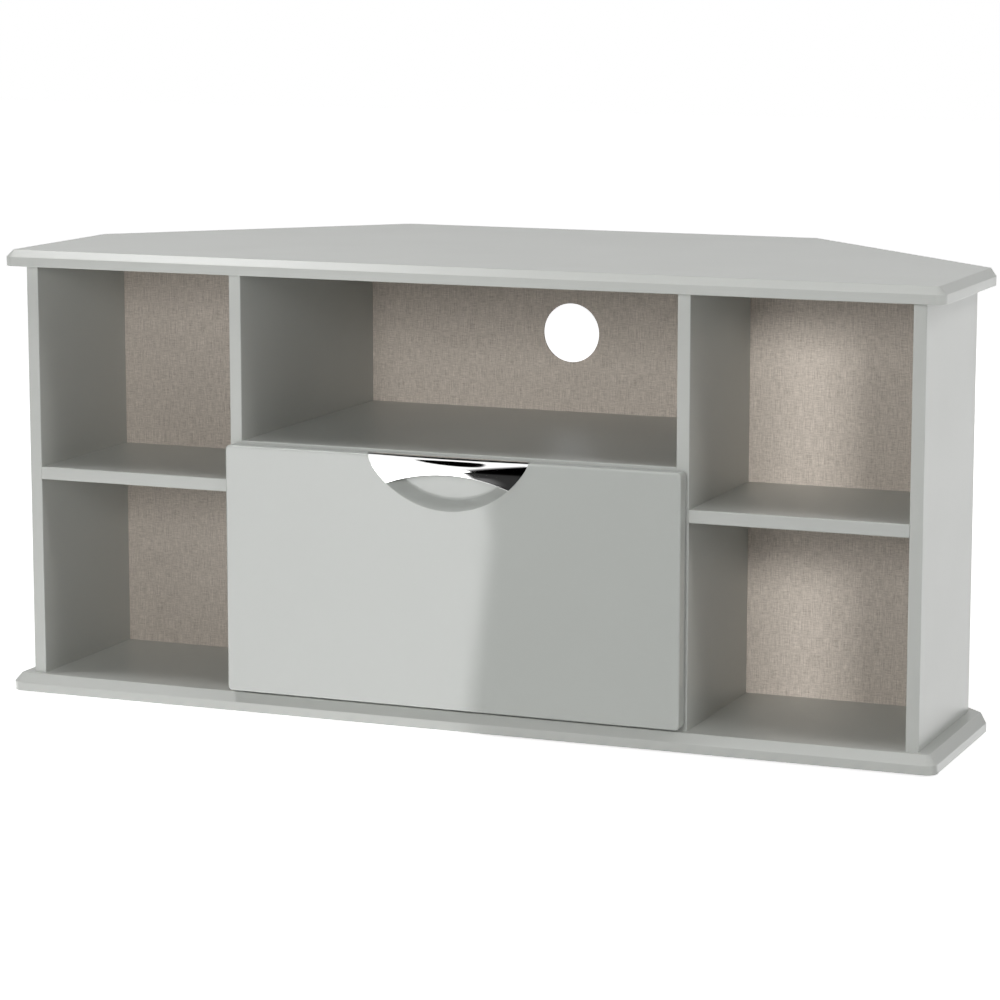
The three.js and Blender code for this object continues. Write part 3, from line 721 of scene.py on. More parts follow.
# Zinc-plated steel with a faint spangle and a dulled bloom
ZINC = Coated("zinc_plate", "zinc", tone(186, 189, 192), tone(160, 163, 168),
              stains=Noise(240.0, 3.0), stain_fade=(0.4, 0.7), marks=Noise(1100.0, 2.0),
              roughness=(0.26, 0.16), metallic=1.0)

NYLON = moulded("white_nylon", "nylon", tone(238, 237, 232), tone(214, 212, 205), 0.45)
PAD = moulded("soft_pad", "rubber", tone(221, 222, 219), tone(204, 205, 201), 0.3)
GLIDE = moulded("dark_glide", "glide", tone(74, 71, 67), tone(96, 92, 86), 0.5)


# Pieces


class Bench:
    """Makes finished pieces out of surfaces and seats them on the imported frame."""

    def __init__(self, frame: dict) -> None:
        """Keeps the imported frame."""
        self.frame = frame

    def piece(self, name: str, surface: Surface, finish: Finish, body: str,
              nodes: Sequence[str] = (), sharp: float = 32.0, weld: bool = False) -> None:
        """Makes a piece that rides on a body and stands for CAD nodes.

        Args:
            name: Name of the piece.
            surface: Its surface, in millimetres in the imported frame.
            finish: Its finish.
            body: The body that it rides on.
            nodes: CAD nodes that it stands for.
            sharp: Angle in degrees past which an edge stays crisp.
            weld: Merges points that coincide, and drops the faces that this closes up.
        """
        mesh = bpy.data.meshes.new(name)
        mesh.from_pydata((surface.points * MM).tolist(), [], surface.faces)
        if weld:
            shape = bmesh.new()
            shape.from_mesh(mesh)
            bmesh.ops.remove_doubles(shape, verts=shape.verts, dist=WELD_DISTANCE)
            shape.to_mesh(mesh)
            shape.free()
        mesh.polygons.foreach_set("use_smooth", np.ones(len(mesh.polygons), bool))
        mesh.set_sharp_from_angle(angle=math.radians(sharp))
        mesh.materials.append(finish.material())
        piece = bpy.data.objects.new(name, mesh)
        bpy.context.scene.collection.objects.link(piece)
        weighted = piece.modifiers.new("flat_faces_first", "WEIGHTED_NORMAL")
        weighted.keep_sharp = True
        weighted.weight = 100
        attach(piece, body)
        if nodes:
            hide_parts(*nodes)
        LOG.info("%s: %d faces, on %s", name, len(mesh.polygons), body)

    def dress(self, finish: Finish, *nodes: str) -> None:
        """Gives CAD nodes a finish and keeps their shape.

        Args:
            finish: The finish.
            nodes: Names of the nodes.
        """
        for node in nodes:
            materials = self.frame["nodes"][node].data.materials
            materials.clear()
            materials.append(finish.material())
            LOG.info("%s: dressed as %s", node, finish.name)


SIDES = (-1, 1)


def side_name(side: int) -> str:
    """Returns the name of a side."""
    return "left" if side < 0 else "right"


@dataclass
class Boards:
    """The top and base boards, with a routed bevel on the front and on both short ends."""

    width: float = 1104.4
    back_width: float = 528
    back_y: float = 485.4
    side_end_y: float = 201.6
    corner_radius: float = 12
    top_thickness: float = 18.7
    top_overhang: float = 14.8
    top_bevel: tuple[float, float] = (8.5, 8.1)
    base_thickness: float = 20.3
    base_overhang: float = 16.4
    base_bevel: tuple[float, float] = (8.8, 10.0)
    arris: float = 0.8
    bevel_softness: float = 1.6
    cap_inset: float = 40
    least_radius: float = 0.5
    corner_steps: int = 14

    def build(self, bench: Bench) -> None:
        """Makes both boards.

        Args:
            bench: Makes the pieces.
        """
        top = self.board(-self.top_overhang, self.top_thickness, self.top_bevel)
        base = self.board(-self.base_overhang, self.base_thickness, self.base_bevel)
        top = top.moved(0, CARCASS_Y, CARCASS_Z + UPRIGHT_HEIGHT)
        base = base.moved(0, CARCASS_Y, CARCASS_Z - self.base_thickness)
        bench.piece("top_board_lacquered", top, LACQUER, CARCASS, ["top_board"])
        bench.piece("base_board_lacquered", base, LACQUER, CARCASS, ["base_board"])

    def board(self, front_y: float, thickness: float, bevel: tuple[float, float]) -> Surface:
        """Makes a board on the level z = 0.

        The surface is a function of the way round the board's outline and the way up its edge:
        each row of the edge's profile moves the outline inwards by its own distance, farther on
        the bevelled edges than on the plain ones at the back.

        Args:
            front_y: Place of the front edge.
            thickness: Thickness of the board.
            bevel: Width and height of the bevel.

        Returns:
            The closed surface.
        """
        bevelled, levels = self.profile(thickness, bevel)
        plain = self.plain_insets(bevelled, levels, thickness)
        half, back_half = self.width / 2, self.back_width / 2
        corners = np.array([[-half, front_y], [half, front_y], [half, self.side_end_y],
                            [back_half, self.back_y], [-back_half, self.back_y],
                            [-half, self.side_end_y]])
        edge_insets = np.stack([bevelled, bevelled, plain, plain, plain, bevelled], axis=1)
        loops = self.moved_in(corners, edge_insets)
        front_radius = np.maximum(self.corner_radius - bevelled, self.least_radius)
        none = np.zeros_like(front_radius)
        radii = np.stack([front_radius, front_radius, none, none, none, none], axis=1)
        outlines = rounded(loops, radii, self.corner_steps)
        return skin(levelled(outlines, levels, Along.UP))

    def profile(self, thickness: float,
                bevel: tuple[float, float]) -> tuple[np.ndarray, np.ndarray]:
        """Works out the section of the bevelled edge.

        Args:
            thickness: Thickness of the board.
            bevel: Width and height of the bevel.

        Returns:
            Its insets and its levels, from the underside to the top face.
        """
        corners = np.array([[self.cap_inset, 0], [0, 0], [0, thickness - bevel[1]],
                            [bevel[0], thickness], [self.cap_inset, thickness]], float)
        radii = np.array([0, self.arris, self.bevel_softness, self.bevel_softness, 0])
        rows = rounded(corners, radii)
        return rows[:, 0], rows[:, 1]

    def plain_insets(self, bevelled: np.ndarray, levels: np.ndarray,
                     thickness: float) -> np.ndarray:
        """Works out the section of the plain edges: a small round at both faces, then the cap.

        Args:
            bevelled: Insets of the bevelled edge.
            levels: Level of each inset.
            thickness: Thickness of the board.

        Returns:
            The plain edges' inset at each level.
        """
        from_face = np.minimum(np.minimum(levels, thickness - levels), self.arris)
        rise = self.arris - from_face
        arris = self.arris - np.sqrt(self.arris ** 2 - rise ** 2)
        return np.where(bevelled >= self.cap_inset, self.cap_inset, arris)

    @staticmethod
    def moved_in(corners: np.ndarray, edge_insets: np.ndarray) -> np.ndarray:
        """Moves each edge of an outline inwards by its own distance.

        Each new corner is where the two moved edges cross: it solves normal . point = distance
        for the edge before it and for its own edge.

        Args:
            corners: Corners as (corners, 2), counter-clockwise.
            edge_insets: Distance of each edge, from its corner on, as (rows, corners).

        Returns:
            The corners of each row, as (rows, corners, 2).
        """
        edges = unit(np.roll(corners, -1, axis=0) - corners)
        normals = np.stack([-edges[:, 1], edges[:, 0]], axis=1)
        offsets = (normals * corners).sum(axis=1) + edge_insets
        before = np.roll(normals, 1, axis=0)
        offsets_before = np.roll(offsets, 1, axis=1)
        determinant = before[:, 0] * normals[:, 1] - before[:, 1] * normals[:, 0]
        x = (offsets_before * normals[:, 1] - offsets * before[:, 1]) / determinant
        y = (offsets * before[:, 0] - offsets_before * normals[:, 0]) / determinant
        return np.stack([x, y], axis=-1)


@dataclass
class Panels:
    """The uprights and shelves, with a fine round on each front edge."""

    carcass_width: float = 1060
    thickness: float = 14.5
    arris: float = 1.1
    rear_arris: float = 0.4
    side_shelf_z: float = 227.8
    centre_shelf_top: float = 287.4
    rebate: float = 6
    groove: float = 5
    groove_clearance: float = 0.15

    def build(self, bench: Bench) -> None:
        """Makes the four uprights and the three shelves.

        Args:
            bench: Makes the pieces.
        """
        bay, outer = BAY_WIDTH / 2, self.carcass_width / 2
        for side in SIDES:
            label = side_name(side)
            self._piece(bench, f"{label}_end_panel", self.end_panel(side))
            self._piece(bench, f"{label}_divider", self.divider(side))
            ends = sorted([side * (bay + self.thickness), side * (outer - self.thickness)])
            depth = END_PANEL_DEPTH - BACK_THICKNESS
            self._piece(bench, f"{label}_shelf", self.shelf(ends, depth, self.side_shelf_z))
        depth = DIVIDER_DEPTH - BACK_THICKNESS
        underside = self.centre_shelf_top - self.thickness
        self._piece(bench, "centre_shelf", self.shelf([-bay, bay], depth, underside))

    @staticmethod
    def _piece(bench: Bench, node: str, surface: Surface) -> None:
        """Makes the lacquered piece of a panel."""
        surface = surface.moved(0, CARCASS_Y, CARCASS_Z)
        bench.piece(f"{node}_lacquered", surface, LACQUER, CARCASS, [node])

    def end_panel(self, side: int) -> Surface:
        """Makes an end panel, rebated on its inner face for the back panel.

        Args:
            side: -1 for the left side, 1 for the right side.

        Returns:
            The closed surface.
        """
        width = self.thickness
        inner = width - self.rebate
        step = END_PANEL_DEPTH - BACK_THICKNESS
        corners = [[0, 0], [width, 0], [width, step], [inner, step], [inner, END_PANEL_DEPTH],
                   [0, END_PANEL_DEPTH]]
        radii = [self.arris, self.arris, 0, 0, self.rear_arris, self.rear_arris]
        return self._upright(corners, radii, -self.carcass_width / 2, side)

    def divider(self, side: int) -> Surface:
        """Makes a divider, rebated for the centre back and grooved for a side back.

        Args:
            side: -1 for the left side, 1 for the right side.

        Returns:
            The closed surface.
        """
        width = self.thickness
        inner = width - self.rebate
        step = DIVIDER_DEPTH - BACK_THICKNESS
        low = END_PANEL_DEPTH - BACK_THICKNESS - self.groove_clearance
        high = END_PANEL_DEPTH + self.groove_clearance
        corners = [[0, 0], [width, 0], [width, step], [inner, step], [inner, DIVIDER_DEPTH],
                   [0, DIVIDER_DEPTH], [0, high], [self.groove, high], [self.groove, low],
                   [0, low]]
        radii = [self.arris, self.arris, 0, 0, self.rear_arris, self.rear_arris, 0, 0, 0, 0]
        return self._upright(corners, radii, -BAY_WIDTH / 2 - width, side)

    def _upright(self, corners: list, radii: list, left_x: float, side: int) -> Surface:
        """Carries the left upright's plan up, or its mirror image on the right.

        Args:
            corners: Corners of the plan, from its front left one on.
            radii: Radius of each corner.
            left_x: Place of the plan's left edge.
            side: -1 for the left side, 1 for the right side.

        Returns:
            The closed surface.
        """
        plan = rounded(np.array(corners, float), np.array(radii, float))
        plan = plan + np.array([left_x, 0])
        if side > 0:
            plan = (plan * np.array([-1, 1]))[::-1]
        return extruded(plan, 0, UPRIGHT_HEIGHT, Along.UP)

    def shelf(self, ends: Sequence[float], depth: float, underside: float) -> Surface:
        """Makes a shelf.

        Args:
            ends: Places of its two ends.
            depth: Its depth.
            underside: Level of its underside.

        Returns:
            The closed surface.
        """
        section = rectangle([0, underside], [depth, underside + self.thickness],
                            [self.arris, 0, 0, self.arris])
        return extruded(section, ends[0], ends[1], Along.RIGHT)


@dataclass
class Backs:
    """The three hardboard backs with their linen faces, the cable hole and the panel pins."""

    side_inner_x: float = 267.8
    side_outer_x: float = 521.2
    side_y: float = END_PANEL_DEPTH - BACK_THICKNESS
    centre_half: float = 263.7
    centre_y: float = DIVIDER_DEPTH - BACK_THICKNESS
    hole_radius: float = 35
    hole_z: float = 381.5
    hole_arris: float = 0.25
    hole_sides: int = 160
    pin_radius: float = 1.9
    pin_dome: float = 0.7
    pin_pole: float = 0.3
    pin_sides: int = 12
    pin_start: float = 12
    pin_spacing: float = 95
    pin_inset: float = 3.4

    def build(self, bench: Bench) -> None:
        """Makes the backs and their pins.

        Args:
            bench: Makes the pieces.
        """
        for side in SIDES:
            name = f"{side_name(side)}_back_panel"
            ends = sorted([side * self.side_inner_x, side * self.side_outer_x])
            outline = rectangle([ends[0], 0], [ends[1], UPRIGHT_HEIGHT], [0, 0, 0, 0])
            panel = extruded(outline, -END_PANEL_DEPTH, -self.side_y, Along.FRONT)
            self._piece(bench, name, panel)
        self._piece(bench, "centre_back_panel", self.holed_panel())
        bench.piece("back_panel_pins", self.pins().moved(0, CARCASS_Y, CARCASS_Z), ZINC, CARCASS)

    @staticmethod
    def _piece(bench: Bench, node: str, surface: Surface) -> None:
        """Makes the linen-faced piece of a back panel."""
        surface = surface.moved(0, CARCASS_Y, CARCASS_Z)
        bench.piece(f"{node}_linen", surface, LINEN, CARCASS, [node])

    def holed_panel(self) -> Surface:
        """Makes the centre back with its cable hole.

        The panel is a function of the angle round the hole and the way round the wall: the outer
        edge is the rectangle's crossing with the ray at that angle, and the hole is a circle.

        Returns:
            The closed surface.
        """
        low = np.array([-self.centre_half, -self.hole_z])
        high = np.array([self.centre_half, UPRIGHT_HEIGHT - self.hole_z])
        corner_angles = np.arctan2([low[1], low[1], high[1], high[1]],
                                   [low[0], high[0], high[0], low[0]])
        round_angles = np.linspace(-math.pi, math.pi, self.hole_sides, endpoint=False)
        ray = directions(np.unique(np.concatenate([round_angles, corner_angles])))
        reach = (np.where(ray > 0, high, -low) / np.maximum(np.abs(ray), 1e-9)).min(axis=1)
        centre = np.array([0, self.hole_z])
        outer = ray * reach[:, None] + centre
        edge = ray * (self.hole_radius + self.hole_arris) + centre
        hole = ray * self.hole_radius + centre
        front, back = -self.centre_y, -DIVIDER_DEPTH
        loops = np.stack([outer, outer, edge, hole, hole, edge])
        levels = [back, front, front, front - self.hole_arris, back + self.hole_arris, back]
        return looped(levelled(loops, levels, Along.FRONT))

    def pins(self) -> Surface:
        """Makes the heads of the pins along the backs' upright edges.

        Returns:
            All the heads as one surface.
        """
        heights = np.arange(self.pin_start, UPRIGHT_HEIGHT, self.pin_spacing)
        rows = ((self.side_outer_x - self.pin_inset, END_PANEL_DEPTH),
                (self.centre_half - self.pin_inset, DIVIDER_DEPTH))
        places = [(side * x, y, z) for side in SIDES for x, y in rows for z in heights]
        dome = arc(20, 90, 3) * np.array([self.pin_radius, self.pin_dome])
        profile = np.concatenate([[[self.pin_radius, 0]], dome])
        profile[-1, 0] = self.pin_pole
        head = turned(profile, self.pin_sides, Along.BACK)
        heads = [head.moved(*place) for place in places]
        return heads[0].joined(*heads[1:])


@dataclass
class Runners:
    """The drawer's roller runners: channels, rails, rollers, rivets and screws."""

    box_half: float = 245.3
    sheet: float = 1.2
    roller_radius: float = 8
    roller_width: float = 7
    roller_bore: float = 2.15
    roller_crown: float = 0.8
    hub_wall: float = 1.4
    tread_wall: float = 1.8
    dish_slope: float = 0.4
    dish_depth: float = 0.5
    roller_sides: int = 48
    side_gap: float = 0.9
    axis_z: float = 31.5
    front_roller_y: float = 18
    rear_roller_y: float = 324

    def build(self, bench: Bench) -> None:
        """Dresses the steel and makes the rollers round.

        Args:
            bench: Makes the pieces.
        """
        for side in SIDES:
            label = side_name(side)
            bench.dress(ENAMEL, f"{label}_channel", f"{label}_rail")
            bench.dress(ZINC, f"{label}_channel_rivet", f"{label}_rail_rivet")
            for row in ("front", "middle", "rear"):
                bench.dress(ZINC, f"{label}_channel_screw_{row}", f"{label}_rail_screw_{row}")
            half = self.roller_width / 2
            front_x = side * (BAY_WIDTH / 2 - self.sheet - self.side_gap - half)
            rear_x = side * (self.box_half + self.sheet + self.side_gap + half)
            self._roller(bench, f"{label}_front", front_x, self.front_roller_y)
            self._roller(bench, f"{label}_rear", rear_x, self.rear_roller_y)

    def _roller(self, bench: Bench, row: str, x: float, y: float) -> None:
        """Makes a roller with a crowned tread, shallow dished faces and a bore.

        Args:
            bench: Makes the pieces.
            row: Its side and row, such as left_front.
            x: Place of its middle.
            y: Place of its axle.
        """
        face, dish = -self.roller_width / 2, -self.roller_width / 2 + self.dish_depth
        tread, crown = self.roller_radius, self.roller_crown
        hub, rim = self.roller_bore + self.hub_wall, tread - self.tread_wall
        side = np.array([
            [self.roller_bore, face], [hub, face], [hub + self.dish_slope, dish],
            [rim - self.dish_slope, dish], [rim, face], [tread - crown, face],
            [tread - crown * 0.3, face + crown * 0.3], [tread, face + crown]])
        profile = np.concatenate([side, side[::-1] * np.array([1, -1])])
        rings = levelled(circles(profile[:, 0], self.roller_sides), profile[:, 1], Along.RIGHT)
        surface = looped(rings)
        surface = surface.moved(x, CARCASS_Y + y, CARCASS_Z + self.axis_z)
        bench.piece(f"{row}_roller_round", surface, NYLON, f"{row}_wheel", [f"{row}_roller"])


@dataclass
class Glides:
    """The nail-on glides under the base board."""

    nodes: tuple[str, ...] = tuple(f"floor_glide_{side}_{row}" for side in ("left", "right")
                                   for row in ("front", "middle", "rear"))
    radius: float = 11
    height: float = 3
    edge: float = 1
    pole: float = 0.5
    sides: int = 40

    def build(self, bench: Bench) -> None:
        """Makes each glide round, on the place of its CAD node.

        Args:
            bench: Makes the pieces.
        """
        curve = arc(270, 360, 4) * self.edge + np.array([self.radius - self.edge, self.edge])
        top = [[self.radius, self.height], [self.pole, self.height]]
        profile = np.concatenate([[[self.pole, 0]], curve, top])
        disc = turned(profile, self.sides, Along.UP)
        for node in self.nodes:
            low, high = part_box(node)
            centre = (low + high) / 2 / MM
            bench.piece(f"{node}_round", disc.moved(centre.x, centre.y, 0), GLIDE, CARCASS, [node])


@dataclass(frozen=True)
class Scoop:
    """The half-moon scoop: a circle's lower part under the drawer front's top edge."""

    radius: float = 109.5
    drop: float = 58.6
    depth: float = 15.5
    wall_inset: float = 12
    edge_radius: float = 0.7
    foot_radius: float = 4
    mouth_rim: float = 12
    floor_reach: float = 40

    @property
    def centre_z(self) -> float:
        """Height of the circle's centre above the drawer front's top edge."""
        return self.radius - self.drop

    def segment(self, radius: np.ndarray, top: np.ndarray, steps: int) -> np.ndarray:
        """Returns circle arcs below a level, from their left end to their right end.

        Point k of an arc is radius * (cos a, sin a) about the circle's centre, with the angle a
        in equal steps between the two places where the circle crosses the level.

        Args:
            radius: Radius of each arc.
            top: Level of each arc's ends, over the drawer front's top edge.
            steps: Steps of each arc.

        Returns:
            Points as (arcs, steps + 1, 2), of x and of height over the top edge.
        """
        right = np.arcsin(np.clip((top - self.centre_z) / radius, -1, 1))
        left = -math.pi - right
        angle = left[:, None] + (right - left)[:, None] * np.linspace(0, 1, steps + 1)[None]
        return radius[:, None, None] * directions(angle) + np.array([0, self.centre_z])

    def wall(self) -> tuple[np.ndarray, np.ndarray]:
        """Works out the section of the wall, from the rounded mouth to the floor.

        Returns:
            Its radii and its depths behind the drawer front's face.
        """
        corners = np.array([[self.radius + self.mouth_rim, 0], [self.radius, 0],
                            [self.radius - self.wall_inset, self.depth],
                            [self.radius - self.floor_reach, self.depth]], float)
        radii = np.array([0, self.edge_radius, self.foot_radius, 0])
        rows = rounded(corners, radii)[1:-1]
        return rows[:, 0], rows[:, 1]


@dataclass
class DrawerFront:
    """The high gloss drawer front with its scoop."""

    width: float = 539.4
    bottom: float = 3.8
    corner_radius: float = 5
    least_radius: float = 0.5
    edge_radius: float = 2.5
    back_arris: float = 0.5
    scoop: Scoop = Scoop()
    corner_steps: int = 10
    edge_steps: int = 8
    arc_steps: int = 120

    def build(self, bench: Bench) -> None:
        """Makes the front, with the scoop let into it."""
        surface = self.solid().moved(0, CARCASS_Y - DRAWER_FRONT_GAP, CARCASS_Z)
        bench.piece("drawer_front_gloss", surface, GLOSS, DRAWER, ["drawer_front"], weld=True)

    def solid(self) -> Surface:
        """Makes the front with the half-moon let into its face and open at the top.

        The surface is a function of the way round the outline and of the level over the back
        face. Up to the scoop's floor the half-moon's stretch of each ring lies on the top edge.
        From the floor on it is the scoop's circle, which widens up the wall to the mouth. Close
        to the face the whole outline moves in on a quarter circle.

        Returns:
            The closed surface.
        """
        radii, depths = self.scoop.wall()
        wall_levels, wall_radii = DRAWER_FRONT_THICKNESS - depths[::-1], radii[::-1]
        start = DRAWER_FRONT_THICKNESS - self.edge_radius
        quarter = start + self.edge_radius * arc(0, 90, self.edge_steps)[:, 1]
        open_levels = np.unique(np.round(np.concatenate([wall_levels, quarter]), 6))
        rise = np.maximum(open_levels - start, 0)
        open_insets = self.edge_radius - np.sqrt(np.maximum(self.edge_radius ** 2 - rise ** 2, 0))
        levels = np.concatenate([[0, self.back_arris, open_levels[0]], open_levels])
        insets = np.concatenate([[self.back_arris, 0, 0], open_insets])
        radius = np.interp(levels, wall_levels, wall_radii)
        notch = self.scoop.segment(radius, -insets, self.arc_steps)[:, ::-1]
        notch[:2, :, 0] = notch[2, :, 0]
        notch[:3, :, 1] = -insets[:3, None]
        before, after = self.outer_loops(insets)
        loops = np.concatenate([before, notch + np.array([0, DRAWER_TOP]), after], axis=1)
        return skin(levelled(loops, levels, Along.FRONT))

    def outer_loops(self, insets: np.ndarray) -> tuple[np.ndarray, np.ndarray]:
        """Works out the outline on both sides of the half-moon.

        Args:
            insets: How far the outline moves in, at each level.

        Returns:
            The outlines before and after it, as (levels, points, 2).
        """
        half = self.width / 2
        low, high = self.bottom + insets, DRAWER_TOP - insets
        left, right = insets - half, half - insets
        corners = np.stack([np.stack([left, low], 1), np.stack([right, low], 1),
                            np.stack([right, high], 1), np.stack([left, high], 1)], axis=1)
        radius = np.maximum(self.corner_radius - insets, self.least_radius)
        outline = rounded(corners, np.repeat(radius[:, None], 4, axis=1), self.corner_steps)
        split = 3 * (self.corner_steps + 1)
        return outline[:, :split], outline[:, split:]


@dataclass
class GripLip:
    """The chrome cap on the scoop: a domed lip, a rolled top edge and a flange behind it.

    A place on the cap has a drop below the drawer front's top edge and a setback behind its face.
    """

    scoop: Scoop = Scoop()
    thickness: float = 2.2
    proud: float = 2.4
    crest_drop: float = 14.5
    lower_radius: float = 200
    bow_radius: float = 2350
    roll_tilts: tuple[float, ...] = (90, 54, 36, 15.5)
    roll_radii: tuple[float, ...] = (0.5, 9.5, 6)
    roll_rise: float = 0.9
    flange_end: float = 15.1
    half_span: float = 72
    height: float = 17.9
    end_drop: float = 30.9
    gap: float = 0.15
    lap: float = 2.5
    edge_radius: float = 0.08
    arch_rounds: int = 24
    columns: int = 200
    roll_steps: int = 8
    face_steps: int = 44

    def build(self, bench: Bench) -> None:
        """Makes the cap.

        Args:
            bench: Makes the pieces.
        """
        face_y = CARCASS_Y - DRAWER_FRONT_GAP - DRAWER_FRONT_THICKNESS
        surface = self.cap().moved(0, face_y, CARCASS_Z + DRAWER_TOP)
        bench.piece("drawer_handle_lip", surface, CHROME, DRAWER, ["drawer_handle"], sharp=60,
                    weld=True)

    def reach(self, setback: np.ndarray, drop: np.ndarray) -> np.ndarray:
        """Works out the cap's half-width.

        It is the scoop's own half-width less a gap, but the wall draws in only from the lap on,
        so that the cap's ends cover the wall's rounded mouth.

        Args:
            setback: Places behind the drawer front's face.
            drop: Places below its top edge.

        Returns:
            The half-width at each place.
        """
        slope = self.scoop.wall_inset / self.scoop.depth
        radius = self.scoop.radius - self.gap - slope * np.maximum(setback - self.lap, 0)
        rise = self.scoop.centre_z + np.maximum(drop, 0)
        return np.sqrt(radius ** 2 - rise ** 2)

    def lower_drop(self, share: np.ndarray) -> np.ndarray:
        """Works out the arched lower edge.

        The edge is an arc through its middle and its two ends. Its drop sets the scoop's width,
        which sets the place on the arc, so the two are worked out in turn until they agree.

        Args:
            share: Shares of the way from the middle to the scoop's wall, -1 to 1.

        Returns:
            The drop of the edge at each share.
        """
        rise = self.end_drop - self.height
        radius = (self.half_span ** 2 + rise ** 2) / (2 * rise)
        drop = np.full_like(share, self.end_drop)
        for _ in range(self.arch_rounds):
            x = share * self.reach(np.zeros_like(share), drop)
            drop = self.height + radius - np.sqrt(radius ** 2 - x ** 2)
        return drop

    def rolled_edge(self) -> np.ndarray:
        """Works out the roll, from its level start on.

        The roll is a chain of arcs, each with its own radius from one tilt to the next. Along an
        arc the drop grows by the radius times the fall of the tilt's sine, and the setback
        shrinks by the radius times the rise of its cosine.

        Returns:
            Rows of setback, drop and tilt.
        """
        knots = np.radians(self.roll_tilts)
        share = np.linspace(0, 1, self.roll_steps + 1)[1:]
        turns = (knots[:-1, None] + np.diff(knots)[:, None] * share).ravel()
        turns = np.concatenate([knots[:1], turns])
        radii = np.repeat(self.roll_radii, self.roll_steps)
        fall = np.concatenate([[0], np.cumsum(-radii * np.diff(np.sin(turns)))])
        way = np.concatenate([[0], np.cumsum(-radii * np.diff(np.cos(turns)))])
        return np.stack([way, fall - self.roll_rise, turns], axis=1)

    def outer_profile(self, low: np.ndarray) -> tuple[np.ndarray, np.ndarray, np.ndarray]:
        """Works out the cap's outer side, from the flange's end to the lower edge.

        Above the crest the face's setback grows with the square of the way from the crest, so
        that it meets the roll smoothly, and below the crest it grows more slowly.

        Args:
            low: Drop of the lower edge, for each column.

        Returns:
            Setback, drop and tilt of the surface's normal over the level, as (columns, points).
        """
        roll = self.rolled_edge()
        _, joint, tilt = roll[-1]
        upper_radius = (self.crest_drop - joint) / math.tan(tilt)
        joint_setback = (self.crest_drop - joint) ** 2 / (2 * upper_radius) - self.proud
        roll[:, 0] += joint_setback - roll[-1, 0]
        behind = np.array([[self.flange_end, -self.roll_rise, math.pi / 2]])
        start = np.concatenate([behind, roll])
        share = np.sin(np.linspace(0, math.pi / 2, self.face_steps + 1))[1:]
        drop = joint + (low[:, None] - joint) * share
        past = drop - self.crest_drop
        radius = np.where(past < 0, upper_radius, self.lower_radius)
        face = np.stack([past ** 2 / (2 * radius) - self.proud, drop, np.arctan(-past / radius)])
        rows = np.broadcast_to(start.T[:, None], (3, len(low), len(start)))
        return tuple(np.concatenate([rows, face], axis=2))

    def cap(self) -> Surface:
        """Makes the cap as a closed shell.

        It is a function of the share of the way to the scoop's wall and of the way round the
        cap's section: x is the share times the scoop's half-width at the point's own setback and
        drop, and the whole section bows back with the square of x.

        Returns:
            The closed surface.
        """
        share = np.sin(np.linspace(-math.pi / 2, math.pi / 2, self.columns + 1))
        low = self.lower_drop(share)
        setback, drop, tilt = self.outer_profile(low)
        rounding = self.edge_round(low[:, None] - drop)
        inner_setback, inner_drop = self.inner_side(setback, drop, tilt)
        inner_setback = inner_setback - rounding
        setback = np.concatenate([setback + rounding, inner_setback[:, ::-1]], axis=1)
        drop = np.concatenate([drop, inner_drop[:, ::-1]], axis=1)
        across = share[:, None] * self.reach(setback, drop)
        bow = across ** 2 / (2 * self.bow_radius)
        setback = setback + bow * np.clip(1 - setback / self.flange_end, 0, 1)
        across = share[:, None] * self.reach(setback, drop)
        surface = skin(np.stack([across, setback, -drop], axis=-1), capped=False)
        return self.with_ends(surface, len(share), setback.shape[1])

    def inner_side(self, setback: np.ndarray, drop: np.ndarray,
                   tilt: np.ndarray) -> tuple[np.ndarray, np.ndarray]:
        """Works out the inner side, a thickness behind the outer one.

        Behind a bend that is tighter than the thickness the offset doubles back, so there the
        drop holds its greatest value so far, and the setback its greatest one still to come.

        Args:
            setback: Setback of the outer side.
            drop: Drop of the outer side.
            tilt: Tilt of the outer side's normal over the level.

        Returns:
            Setback and drop of the inner side.
        """
        inner_setback = setback + self.thickness * np.cos(tilt)
        inner_drop = drop + self.thickness * np.sin(tilt)
        inner_drop = np.maximum.accumulate(inner_drop, axis=1)
        roll_end = 2 + self.roll_steps * len(self.roll_radii)
        rolled = inner_setback[:, 1:roll_end]
        inner_setback[:, 1:roll_end] = np.maximum.accumulate(rolled[:, ::-1], axis=1)[:, ::-1]
        return inner_setback, inner_drop

    @staticmethod
    def with_ends(surface: Surface, columns: int, size: int) -> Surface:
        """Closes the shell's two ends with faces from its outer to its inner side.

        Args:
            surface: The shell.
            columns: Number of its sections.
            size: Number of points of a section.

        Returns:
            The closed shell.
        """
        first = np.arange(size // 2 - 1)
        strip = np.stack([first, size - 1 - first, size - 2 - first, first + 1], axis=1)
        last = strip[:, ::-1] + (columns - 1) * size
        surface.faces += strip.tolist() + last.tolist()
        return surface

    def edge_round(self, distance: np.ndarray) -> np.ndarray:
        """Returns how far a quarter round draws the face back, by the distance from its edge."""
        near = np.clip(1 - distance / self.edge_radius, 0, 1)
        return self.edge_radius * (1 - np.sqrt(1 - near ** 2))


